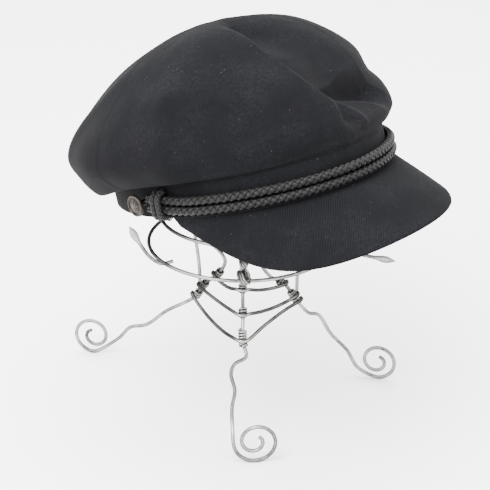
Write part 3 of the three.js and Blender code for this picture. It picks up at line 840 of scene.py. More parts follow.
@dataclass
class CapCrown:
    """Soft hollow crown of the cap, its folds and its seams.

    Attributes:
        oval: Oval of the band below.
        place: Place of the cap.
        top: Height of the crown's middle.
        lean: Turn of the crown to the right, in degrees.
        wall: Thickness of the cloth.
        columns: Points round the crown.
        steps: Rows of points in each of the profile's five spans.
        inner_rows: Rows of the inner face.
        sections: Profile at each bearing: radius and height at droop, bulge, turn and upper.
        folds: The folds.
        seams: Lines of the panel seams, each of bearings and rows.
    """

    oval: BandOval
    place: Placing
    top: float = 109.0
    lean: float = 2.0
    wall: float = 2.0
    columns: int = 320
    steps: tuple = (10, 22, 30, 40, 36)
    inner_rows: int = 44
    sections: np.ndarray = field(default_factory=lambda: np.array([
        (112, 15, 121, 40, 106, 64, 61, 92),
        (108, 14, 118.5, 41, 102, 66, 58, 94.5),
        (102, 15, 114, 41, 96.5, 66, 53, 97),
        (98, 25, 109.5, 44, 93, 71, 51, 99.5),
        (97, 28, 106, 46, 91, 76, 49, 103),
        (101.5, 28, 104, 46, 89, 78, 47, 105),
        (105, 28, 105, 44, 86, 74, 44, 102),
        (101, 25, 101, 35, 82, 58, 44, 91),
        (100.5, 20, 106, 30, 95, 57, 56, 92),
        (101, 22, 111, 41, 99, 71, 60, 97),
        (104, 17, 116, 42, 104, 69, 62, 96.5),
        (109, 15, 120, 40, 106, 66, 62, 94),
    ], float))
    folds: tuple = (
        Fold(((4, 4.3), (0, 3.55), (6, 2.98), (15, 2.85)), 13, 8, 26),
        Fold(((15, 2.9), (40, 2.6)), 15.5, 9, 12),
        Fold(((40, 2.6), (74, 2.62)), 4.5, 9, 10),
        Fold(((15, 2.9), (10, 2.0)), 8, 8, 12),
        Fold(((-64, 1.6), (-60, 3.2)), -3, 14, 14, True),
        Fold(((-48, 2.2), (-20, 3.4)), 3, 24, 24),
        Fold(((-128, 2.0), (-104, 3.6)), -2.5, 12, 12, True),
        Fold(((-62, 2.0), (-61, 3.1)), -1.6, 6, 6, True),
        Fold(((-48, 2.78), (-41, 2.84)), 1.0, 3, 3, True),
        Fold(((-35, 3.08), (-32, 2.82), (-34, 2.67)), 1.3, 5, 6, True),
        Fold(((-31, 2.54), (-32, 2.1)), 0.9, 6, 6, True),
        Fold(((-23, 2.5), (-24, 2.05)), -0.6, 5, 5, True),
        Fold(((-11, 2.53), (-12, 1.9)), 0.7, 6, 7, True),
        Fold(((-84, 2.56), (-68, 2.36)), 0.6, 2.2, 2.2, True),
        Fold(((-86, 2.44), (-72, 2.27)), 0.5, 2.0, 2.0, True),
    )
    seams: tuple = (
        (
            (-6, 4.85), (-7, 4.54), (-9, 4.09), (-10, 3.6), (-6, 3.17), (-4, 2.91),
            (3, 2.58), (4, 2.25), (7, 1.7), (8, 1.0), (8, 0.25),
        ),
        (
            (-135, 4.85), (-124, 4.25), (-97, 3.57), (-96, 3.17), (-96, 2.92), (-94, 2.45),
            (-93, 1.8), (-92, 1.0), (-92, 0.25),
        ),
        (
            (110, 4.85), (82, 4.2), (66, 3.7), (52, 3.2), (47, 2.8), (50, 2.3),
            (56, 1.5), (60, 0.8), (62, 0.25),
        ),
        (
            (170, 4.85), (172, 4.0), (176, 3.0), (178, 2.0), (178, 1.0), (178, 0.25),
        ),
    )

    def profile(self, bearing: np.ndarray, row: np.ndarray) -> np.ndarray:
        """Outer surface before its folds: row 0 at the band, row 5 at the top.

        At each bearing the sections' columns are interpolated round the crown by cubics, and a
        cubic runs through the joint, droop, bulge, turn, upper and top points.

        Args:
            bearing: Degrees from the front.
            row: Place along the profile, 0 to 5.

        Returns:
            Points in the cap's frame.
        """
        bearing, row = np.broadcast_arrays(np.asarray(bearing, float), np.asarray(row, float))
        count = len(self.sections)
        place = (bearing + 180.0) / 360.0 * count
        i = np.floor(place).astype(int)
        ring = [self.sections[(i + k) % count] for k in (-1, 0, 1, 2)]
        column = hermite(*ring, (place - i)[..., None])
        joint = self.oval.radius(bearing)
        foot = np.full_like(joint, self.oval.height + self.oval.gap)
        zero = np.zeros_like(joint)
        r = np.stack([joint, *np.moveaxis(column[..., 0::2], -1, 0), zero])
        z = np.stack([foot, *np.moveaxis(column[..., 1::2], -1, 0), zero + self.top])
        r = np.concatenate([2 * r[:1] - r[1:2], r, -r[4:5]])
        z = np.concatenate([2 * z[:1] - z[1:2], z, z[4:5]])
        k = np.clip(np.floor(row).astype(int), 0, 4)
        flat = hermite(*four_from(r, k), row - k)
        height = hermite(*four_from(z, k), row - k)
        points = polar(flat, bearing, height)
        a = -math.radians(self.lean) * smooth(row, 0.0, 1.2)
        x = points[..., 0] * np.cos(a) + points[..., 2] * np.sin(a)
        up = points[..., 2] * np.cos(a) - points[..., 0] * np.sin(a)
        return np.stack([x, points[..., 1], up], -1)

    def normal(self, bearing: np.ndarray, row: np.ndarray) -> np.ndarray:
        """Outward unit normals of the unfolded surface, by central differences.

        Args:
            bearing: Degrees from the front.
            row: Place along the profile.

        Returns:
            A unit vector at each place.
        """
        round_ = self.profile(bearing + 0.8, row) - self.profile(bearing - 0.8, row)
        low, high = np.maximum(row - 0.03, 0.0), np.minimum(row + 0.03, 4.98)
        return unit(np.cross(round_, self.profile(bearing, high) - self.profile(bearing, low)))

    def sunk(self, points: np.ndarray, bearing: np.ndarray) -> np.ndarray:
        """How far the folds sink the cloth at points of the unfolded surface.

        Each fold falls off as exp(-(d / width)^2) with the distance d from its line. The width
        eases from the near one to the far one across the line.

        Args:
            points: Points of the unfolded surface.
            bearing: Their bearings.

        Returns:
            Depth at each point.
        """
        deep, rest = np.zeros(points.shape[:-1]), np.zeros(points.shape[:-1])
        for fold in self.folds:
            fall = np.zeros_like(deep)
            for (b0, r0), (b1, r1) in zip(fold.line[:-1], fold.line[1:]):
                start, end = self.profile(b0, r0), self.profile(b1, r1)
                way = end - start
                t = np.clip((points - start) @ way / (way @ way), 0.0, 1.0)
                away = np.linalg.norm(points - start - t[..., None] * way, axis=-1)
                turn = (bearing - b0 - (b1 - b0) * t + 540.0) % 360.0 - 180.0
                width = fold.near + (fold.far - fold.near) * smooth(turn, -6.0, 6.0)
                fall = np.maximum(fall, np.exp(-((away / width) ** 2)))
            if fold.rests or fold.depth < 0:
                rest += fold.depth * fall
            else:
                deep = np.maximum(deep, fold.depth * fall)
        return deep + rest

    def ripple(self, bearing: np.ndarray, row: np.ndarray) -> np.ndarray:
        """Faint unevenness of soft cloth: a sum of a few crossed sines, under half a millimetre.

        Args:
            bearing: Degrees from the front.
            row: Place along the profile.

        Returns:
            Height at each place.
        """
        a = np.radians(bearing)
        slow = 0.32 * np.sin(5 * a + 1.7 * row + 0.6) * np.sin(2.3 * row + 2 * a)
        quick = 0.16 * np.sin(13 * a - 2.9 * row + 1.1) * np.sin(4.1 * row + 5 * a + 0.4)
        return (slow + quick) * smooth(row, 0.4, 1.4) * (1 - smooth(row, 4.4, 4.9))

    def surface(self, bearing: np.ndarray, row: np.ndarray) -> tuple[np.ndarray, np.ndarray]:
        """Folded outer surface and its unfolded normals.

        Args:
            bearing: Degrees from the front.
            row: Place along the profile, 0 to 4.98.

        Returns:
            Points and unit normals in the cap's frame.
        """
        base, out = self.profile(bearing, row), self.normal(bearing, row)
        held = smooth(row / 5.0, 0.1, 0.36)
        move = self.ripple(bearing, row) - held * self.sunk(base, bearing)
        return base + out * move[..., None], out

    def grid(self, rows: np.ndarray) -> tuple[np.ndarray, np.ndarray, np.ndarray]:
        """Folded surface on a grid of rows by columns, with bearings and grid normals.

        Args:
            rows: Places along the profile, from the band to the top.

        Returns:
            Points, bearings and unit normals, rows by columns.
        """
        bearing = np.linspace(-180, 180, self.columns, endpoint=False)
        b, r = np.meshgrid(bearing, rows, indexing="xy")
        points, _ = self.surface(b, np.minimum(r, 4.97))
        points[-1] = points[-1].mean(0)
        along = np.gradient(points, axis=0)
        round_ = np.roll(points, -1, 1) - np.roll(points, 1, 1)
        facing = unit(np.cross(round_, along))
        facing[-1] = unit(facing[-2].mean(0))
        return points, b, facing

    def cloth_map(self, points: np.ndarray, bearing: np.ndarray) -> np.ndarray:
        """Flat map of the cloth about its top: the distance run from the top, at the bearing.

        Args:
            points: Grid of points whose last row is the top.
            bearing: Their bearings.

        Returns:
            Flat coordinates, with the first column repeated at the end.
        """
        step = np.linalg.norm(np.diff(points, axis=0), axis=-1)
        run = np.concatenate([np.cumsum(step[::-1], 0)[::-1], np.zeros((1, points.shape[1]))])
        a = np.radians(bearing)
        flat = np.stack([run * np.sin(a), run * np.cos(a)], -1)
        return np.concatenate([flat, flat[:, :1]], 1)

    def build(self) -> bpy.types.Object:
        """Closed crown: the outer face up to the top, the inner face down, joined at the rim.

        Returns:
            The crown.
        """
        marks = np.concatenate([[0], np.cumsum(self.steps)])
        rows = np.interp(np.arange(marks[-1] + 1), marks, np.arange(6))
        outer, bearing, _ = self.grid(rows)
        level = np.full_like(bearing[:1], 23.4)
        tuck = self.oval.at(bearing[:1], np.full_like(level, 0.2), level)
        outer = np.concatenate([tuck, outer])
        bearing = np.concatenate([bearing[:1], bearing])
        few = np.interp(np.linspace(0, marks[-1], self.inner_rows), marks, np.arange(6))
        inner, inner_bearing, facing = self.grid(few)
        inner = inner - facing * self.wall
        low = polar(self.oval.radius(inner_bearing[:1], 2.2), inner_bearing[:1], level)
        inner = np.concatenate([low, inner[1:]])
        uv = [self.cloth_map(outer, bearing), self.cloth_map(inner, inner_bearing)[::-1]]
        uv = np.concatenate([*uv, uv[0][:1]])
        points = self.place.cap(np.concatenate([outer, inner[::-1]]))
        patch = Patch(points, wrap_rows=True, uv=uv, gap_after=len(outer) - 1)
        return make_mesh("crown_cloth", [patch])

    def seam(self, knots: tuple) -> Patch:
        """Felled seam on the crown: a flat ribbon with a low roll on each side of its middle.

        The ribbon's points are found on the folded surface itself, by moving across the line in
        bearing and row, and lifted by exp(-((|w| - 0.95) / 0.5)^2) of the offset w.

        Args:
            knots: Bearings and rows that the seam runs through.

        Returns:
            A closed grid, with its back face just under the cloth.
        """
        scale = np.array([1.4, 30.0])
        line = curve(np.array(knots, float) * scale, 1.2) / scale
        b, r = line[:, 0], line[:, 1]
        d_b = (self.profile(b + 0.5, r) - self.profile(b - 0.5, r))
        d_r = (self.profile(b, r + 0.02) - self.profile(b, r - 0.02)) / 0.04
        centre = self.surface(b, r)[0]
        way = unit(np.gradient(centre, axis=0))
        across = unit(np.cross(self.normal(b, r), way))
        jac = np.stack([d_b, d_r], -1)
        move = np.einsum("nij,nj->ni", np.linalg.pinv(jac), across)
        offset = np.array([-2.1, -1.6, -1.25, -0.95, -0.65, -0.3, 0, 0.3, 0.65, 0.95, 1.25, 1.6, 2.1])
        lift = 0.13 * np.exp(-(((np.abs(offset) - 0.95) / 0.5) ** 2)) + 0.05
        lift[[0, -1]] = -0.12
        wide_b = b[:, None] + move[:, :1] * offset
        wide_r = np.clip(r[:, None] + move[:, 1:] * offset, 0.02, 4.95)
        skin, out = self.surface(wide_b, wide_r)
        top = skin + out * lift[None, :, None]
        back = skin - out * 0.5
        points = np.concatenate([top, back[:, ::-1]], 1)
        ends = points.mean(1, keepdims=True)[[0, -1]] + 0 * points[:1]
        points = np.concatenate([ends[:1], points, ends[1:]])
        run = np.arange(len(points)) * 1.2
        side = np.concatenate([offset, offset[::-1], offset[:1]])
        uv = np.stack(np.broadcast_arrays(run[:, None], side[None]), -1)
        return Patch(self.place.cap(points), uv=uv)

    def dress(self, cloth: bpy.types.Material) -> None:
        """Builds the crown and its seams in cloth.

        Args:
            cloth: Cloth material.
        """
        settle(self.build(), Slot.CLOTH, cloth, "crown")
        settle(make_mesh("crown_seams", [self.seam(s) for s in self.seams]), Slot.CLOTH, cloth)


@dataclass
class CapBand:
    """Upright band, and the thin welt along its foot over the peak.

    Attributes:
        oval: Oval of the band.
        place: Place of the cap.
        columns: Points round the band.
        round: Radius of its edges.
        welt_radius: Radius of the welt.
        welt_span: Half of the bearings that the welt covers.
    """

    oval: BandOval
    place: Placing
    columns: int = 260
    round: float = 0.9
    welt_radius: float = 1.0
    welt_span: float = 70.0

    def section(self) -> tuple[np.ndarray, np.ndarray]:
        """Insets and heights round a rounded rectangle: straight sides and quarter circles.

        Returns:
            Insets and heights of the section's points, in order.
        """
        wall, high, r = self.oval.wall, self.oval.height, self.round
        a = np.radians(np.linspace(0, 90, 5))
        side = np.linspace(r, high - r, 9)
        inset = [np.zeros(9), r - r * np.cos(a), wall - r + r * np.sin(a)]
        height = [side, high - r + r * np.sin(a), high - r + r * np.cos(a)]
        inset += [np.full(9, wall), wall - r + r * np.cos(a), r - r * np.sin(a)]
        height += [side[::-1], r - r * np.sin(a), r - r * np.cos(a)]
        return np.concatenate(inset), np.concatenate(height)

    def build(self) -> bpy.types.Object:
        """Band: the section carried round the oval, with faint waves in its face.

        Returns:
            The band.
        """
        inset, height = self.section()
        b = np.linspace(-180, 180, self.columns, endpoint=False)
        wave = 0.18 * np.sin(np.radians(9 * b) + 0.5) * np.sin(np.radians(4 * b))
        lift = -inset[:, None] + wave[None] * (inset[:, None] < 0.5)
        grid = np.broadcast_to(b[None], lift.shape)
        points = self.oval.at(grid, lift, np.broadcast_to(height[:, None], lift.shape))
        step = np.hypot(np.diff(inset, append=inset[0]), np.diff(height, append=height[0]))
        run = np.concatenate([[0], np.cumsum(step)])
        around = np.linspace(0, 604.0, self.columns + 1)
        uv = np.stack(np.broadcast_arrays(around[None], run[:, None]), -1)
        return make_mesh("band_cloth", [Patch(self.place.cap(points), wrap_rows=True, uv=uv)])

    def welt(self) -> bpy.types.Object:
        """Welt: a thin round piping between the peak and the lower cord.

        Returns:
            The welt.
        """
        b = np.linspace(-self.welt_span, self.welt_span, 120)
        path = self.oval.at(b, np.full_like(b, 1.1), np.full_like(b, 1.35))
        rings = sweep(path, self.welt_radius, 8)
        run = np.linspace(0, 250.0, len(rings))
        uv = np.stack(np.broadcast_arrays(run[:, None], np.linspace(0, 6.3, 9)[None]), -1)
        return make_mesh("peak_welt", [Patch(self.place.cap(rings), uv=uv)])

    def dress(self, cloth: bpy.types.Material) -> None:
        """Builds the band and the welt in cloth.

        Args:
            cloth: Cloth material.
        """
        settle(self.build(), Slot.CLOTH, cloth, "band")
        settle(self.welt(), Slot.CLOTH, cloth)


@dataclass
class CapPeak:
    """Stiff cloth-covered peak, steeper towards its ends.

    Attributes:
        oval: Oval of the band.
        place: Place of the cap.
        reach: Length from the band to the front edge.
        half_span: Half of the bearings that it covers.
        trim: Share of the span that is kept.
        wall: Thickness.
        fan: Share of the bearing that its ribs follow.
        toe_in: How much the ribs turn forwards near the ends.
        fullness: Exponent of the outline's fullness.
        taper: Exponent of the outline's taper.
        slope_front: Fall at the front, in degrees.
        slope_right: Fall at the right end.
        slope_left: Fall at the left end.
        end_lift: Extra clearance from the band at the ends.
    """

    oval: BandOval
    place: Placing
    reach: float = 58.0
    half_span: float = 74.8
    trim: float = 0.94
    wall: float = 2.6
    fan: float = 0.26
    toe_in: float = 0.51
    fullness: float = 4.06
    taper: float = 1.44
    slope_front: float = 29.6
    slope_right: float = 59.0
    slope_left: float = 32.0
    end_lift: float = 1.6

    def surface(self, across: np.ndarray, out: np.ndarray) -> np.ndarray:
        """Top face: straight ribs off the band, bowed a little, that fall at a slope.

        Args:
            across: Place between the ends, -1 to 1.
            out: Place from the band, 0, to the edge, 1.

        Returns:
            Points in the cap's frame.
        """
        bearing = across * self.half_span
        full = np.maximum(1 - np.abs(across) ** self.fullness, 0.0) ** self.taper
        twist = (self.slope_left - self.slope_right) / 2
        steepen = (self.slope_left + self.slope_right) / 2 - self.slope_front
        slope = np.radians(self.slope_front + twist * across + steepen * across**2)
        run = self.reach * full * out
        heading = bearing * (self.fan - self.toe_in * across**2)
        lift = self.oval.gap + 0.25 + self.end_lift * across**8
        bow = 0.06 * run * (1 - out)
        start = polar(self.oval.radius(bearing) + lift, bearing, 0.9 + 0 * bearing)
        flat = run * np.cos(slope) + bow * np.sin(slope)
        return start + polar(flat, heading, bow * np.cos(slope) - run * np.sin(slope))

    def build(self) -> bpy.types.Object:
        """Closed peak: the top face out, a rolled edge, and the under face back.

        Returns:
            The peak.
        """
        even = np.linspace(-1, 1, 181)
        across = self.trim * (np.sin(even * np.pi / 2) * 0.5 + even * 0.5)
        rows = np.concatenate([np.linspace(0, 0.93, 34), [0.945, 0.96, 0.972, 0.982, 0.99, 0.996, 1.0]])
        a, o = np.meshgrid(across, rows, indexing="xy")
        top = self.surface(a, o)
        down = unit(np.cross(np.gradient(top, axis=1), np.gradient(top, axis=0)))
        down = 0.45 * down - 0.55 * UP
        edge = np.sqrt(np.clip(1 - (np.clip((o - 0.965) / 0.035, 0, 1)) ** 2, 0.0, 1.0))
        stitch = 0.16 * np.exp(-(((o - 0.925) / 0.006) ** 2))
        upper = top + down * (self.wall / 2 * (1 - edge) + stitch)[..., None]
        under = top + down * (self.wall / 2 * (1 + edge))[..., None]
        points = np.concatenate([upper, under[::-1][1:]])
        middle = (points + points[::-1]) / 2
        shut = 0.6 * unit(points[:, :1] - points[:, 1:2])
        far = 0.6 * unit(points[:, -1:] - points[:, -2:-1])
        points = np.concatenate([middle[:, :1] + shut, points, middle[:, -1:] + far], 1)
        step = np.linalg.norm(np.diff(top, axis=0), axis=-1)
        run = np.concatenate([np.zeros((1, len(across))), np.cumsum(step, 0)])
        chart = np.stack([np.broadcast_to(across * 120.0, run.shape), run], -1)
        chart = np.concatenate([chart, chart[::-1][1:]])
        chart = np.concatenate([chart[:, :1], chart, chart[:, -1:]], 1)
        uv = np.concatenate([chart, chart[:1]])
        patch = Patch(self.place.cap(points), wrap_rows=True, wrap_columns=False, uv=uv)
        return make_mesh("peak_cloth", [patch])

    def dress(self, cloth: bpy.types.Material) -> None:
        """Builds the peak in cloth.

        Args:
            cloth: Cloth material.
        """
        settle(self.build(), Slot.CLOTH, cloth, "peak")


@dataclass
class PlaitedCords:
    """Two plaited cords along the front of the band, and the turn of cord round them at each end.

    Attributes:
        oval: Oval of the band.
        place: Place of the cap.
        radius: Radius of a cord.
        low: Height of the lower cord.
        step: Height from one cord to the next.
        end: Bearing of the cords' ends.
        rise: How far they rise to the buttons.
        pitch: Length of one turn of a strand.
        strands: Strands that run each way.
        keeper_angle: Bearing of the turns round them.
        keeper_thick: Thickness of such a turn.
        keeper_long: Its width along the band.
    """

    oval: BandOval
    place: Placing
    radius: float = 3.1
    low: float = 5.2
    step: float = 6.6
    end: float = 81.5
    rise: float = 2.4
    pitch: float = 14.4
    strands: int = 3
    keeper_angle: float = 74.0
    keeper_thick: float = 3.8
    keeper_long: float = 9.0

    def height(self, bearing: np.ndarray, order: int) -> np.ndarray:
        """Height of a cord's middle at a bearing."""
        return self.low + order * self.step + self.rise * smooth(np.abs(bearing), 58.0, self.end)

    def plait(self, path: np.ndarray, radius: float, pitch: float) -> list[Patch]:
        """Round plait along a path: strands that wind both ways and pass over and under.

        A strand's angle is its turns along the path, and its distance from the middle swings by
        the cosine of its angle times the number of strands, up where it passes over.

        Args:
            path: Evenly spaced points of the middle line.
            radius: Outer radius.
            pitch: Length of a strand's turn.

        Returns:
            A grid for each strand, and one for the core.
        """
        thin, wide = 0.25 * radius, 0.46 * radius
        _, first, second = frames(path)
        step = np.linalg.norm(np.diff(path, axis=0), axis=1)
        run = np.concatenate([[0], np.cumsum(step)])
        patches = []
        for way in (1, -1):
            for k in range(self.strands):
                turn = way * 2 * np.pi * run / pitch + 2 * np.pi * k / self.strands
                swing = way * 0.17 * radius * np.cos(self.strands * turn)
                out = first * np.cos(turn)[:, None] + second * np.sin(turn)[:, None]
                middle = path + out * (radius - thin - 0.17 * radius + swing)[:, None]
                ahead = unit(np.gradient(middle, axis=0))
                side = np.cross(ahead, out)
                a = np.linspace(0, 2 * np.pi, 8, endpoint=False)[None, :, None]
                ring = wide * side[:, None] * np.cos(a) + thin * out[:, None] * np.sin(a)
                points = middle[:, None] + ring
                tip = np.broadcast_to(middle[[0, -1]][:, None], (2, 8, 3))
                points = np.concatenate([tip[:1], points, tip[1:]])
                along = np.concatenate([run[:1], run, run[-1:]]) * 1.4 + 37.0 * k
                uv = np.stack(np.broadcast_arrays(along[:, None], np.linspace(0, 5, 9)[None]), -1)
                patches.append(Patch(points, uv=uv))
        core = sweep(path, 0.55 * radius, 8)
        patches.append(Patch(core))
        return patches

    def cord(self, order: int) -> bpy.types.Object:
        """One cord, from one button to the other.

        Args:
            order: 0 for the lower cord, 1 for the upper one.

        Returns:
            The cord.
        """
        b = np.linspace(-self.end, self.end, 41)
        lift = np.full_like(b, self.radius + self.oval.gap)
        path = curve(self.oval.at(b, lift, self.height(b, order)), 0.62)
        patches = self.plait(path, self.radius, self.pitch)
        for patch in patches:
            patch.points = self.place.cap(patch.points)
        return make_mesh(("cord_lower_plait", "cord_upper_plait")[order], patches)

    def keeper(self, side: Side) -> bpy.types.Object:
        """Two turns of thinner cord over the outside of both cords, ends tucked to the band.

        Args:
            side: Side of the cap.

        Returns:
            The turns of cord.
        """
        bearing = np.array(side.value * self.keeper_angle)
        out = self.oval.out(bearing)
        along = np.cross(UP, out)
        base = polar(self.oval.radius(bearing), bearing, 0.0)
        low, high = self.height(bearing, 0), self.height(bearing, 1)
        middle = self.radius + self.oval.gap
        ring = middle + self.keeper_thick / 2
        tuck = self.oval.gap + self.keeper_thick / 2
        turn = np.radians(np.array([-60, -30, 0, 0, 30, 60]))
        level = np.array([low, low, low, high, high, high])
        lift = np.concatenate([[tuck], middle + ring * np.cos(turn), [tuck]])
        z = np.concatenate([[low - ring], level + ring * np.sin(turn), [high + ring]])
        patches: list[Patch] = []
        for share in (-0.25, 0.25):
            slant = np.linspace(-0.9, 0.9, len(z)) + share * self.keeper_long
            knots = base + lift[:, None] * out + z[:, None] * UP + slant[:, None] * along
            path = curve(knots, 0.35)
            patches += self.plait(path, self.keeper_thick / 2 + 0.25, 8.4)
        for patch in patches:
            patch.points = self.place.cap(patch.points)
        return make_mesh(f"keeper_{side.name.lower()}_plait", patches)

    def dress(self, yarn: bpy.types.Material) -> None:
        """Builds the cords and the turns round them in yarn.

        Args:
            yarn: Yarn material.
        """
        settle(self.cord(0), Slot.CORD, yarn, "cord_lower")
        settle(self.cord(1), Slot.CORD, yarn, "cord_upper")
        for side in Side:
            settle(self.keeper(side), Slot.CORD, yarn, f"keeper_{side.name.lower()}")


@dataclass
class MetalButtons:
    """Buttons that hold the ends of the cords, with a plain ring-and-rays relief.

    Attributes:
        oval: Oval of the band.
        place: Place of the cap.
        angle: Bearing of the buttons.
        radius: Radius of the disc.
        thick: Thickness of the disc.
        lift: Height of the disc's back off the band.
        shank: Radius of the shank.
        level: Height of the middle.
    """

    oval: BandOval
    place: Placing
    angle: float = 86.0
    radius: float = 7.4
    thick: float = 3.2
    lift: float = 7.4
    shank: float = 2.0
    level: float = 10.9

    def build(self, side: Side) -> bpy.types.Object:
        """Button: a profile turned about its axis, with rays raised round a middle boss.

        Args:
            side: Side of the cap.

        Returns:
            The button, with its relief as an attribute.
        """
        r, up, thick = self.radius, self.lift, self.thick
        knots = np.array([
            (0, 0), (self.shank, 0), (self.shank, up * 0.5), (self.shank, up), (r - 0.9, up),
            (r - 0.15, up + 0.5), (r, up + 1.1), (r - 0.25, up + 0.74 * thick),
            (r - 0.75, up + 0.86 * thick), (r - 1.35, up + 0.78 * thick),
            (r - 1.9, up + 0.6 * thick), (r - 3.2, up + 0.74 * thick),
            (r - 4.6, up + 0.88 * thick), (1.5, up + 0.96 * thick), (0, up + thick),
        ])
        fine = curve(knots, 0.22)
        flat, tall = np.maximum(fine[:, 0], 0.0), fine[:, 1]
        flat[[0, -1]] = 0.0
        turn = np.linspace(0, 2 * np.pi, 96, endpoint=False)
        face = tall > up + 0.5 * thick
        rays = np.exp(-(((flat - 3.1) / 1.2) ** 2))[:, None] * np.maximum(np.cos(8 * turn), 0.0)[None]
        rope = np.exp(-(((flat - r + 0.75) / 0.5) ** 2))[:, None] * np.cos(36 * turn)[None]
        relief = face[:, None] * (0.32 * rays + 0.12 * rope)
        bearing = np.array(side.value * self.angle)
        out = self.oval.out(bearing)
        along = np.cross(UP, out)
        seat = self.oval.at(bearing, np.array(self.oval.gap), np.array(self.level))
        ring = along * np.cos(turn)[:, None] + np.cross(out, along) * np.sin(turn)[:, None]
        points = seat + flat[:, None, None] * ring + (tall[:, None] + relief)[..., None] * out
        name = f"button_{side.name.lower()}_turned"
        piece = make_mesh(name, [Patch(self.place.cap(points))], weld=False)
        rim = np.exp(-(((flat - r + 0.7) / 0.45) ** 2))[:, None]
        high = face[:, None] * np.clip(rays + rim + 0.5 * np.exp(-((flat / 1.6) ** 2))[:, None], 0, 1)
        mark = piece.data.attributes.new("relief", "FLOAT", "POINT")
        mark.data.foreach_set("value", high.astype(np.float32).ravel())
        return piece

    def dress(self, metal: bpy.types.Material) -> None:
        """Builds both buttons in metal.

        Args:
            metal: Metal material.
        """
        for side in Side:
            settle(self.build(side), Slot.BUTTON, metal, f"button_{side.name.lower()}")


@dataclass(frozen=True)
class Leg:
    """One wire of the stand.

    Attributes:
        node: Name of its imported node.
        knee: Radius and bearing of the knee, and how far it drops under the others.
        foot: Radius and bearing of the foot.
        scroll: Radius of the scroll.
        sideways: Whether the scroll turns across the leg.
        way: Shares of the way from knee to foot, offsets to the side and heights.
    """

    node: str
    knee: tuple
    foot: tuple
    scroll: float
    sideways: bool
    way: tuple


@dataclass(frozen=True)
class Web:
    """One web wire, from the left upright round the front one to the right one.

    Attributes:
        node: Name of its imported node.
        levels: Height at the left, front and right uprights.
        sags: How far it sags on the left and on the right.
    """

    node: str
    levels: tuple
    sags: tuple


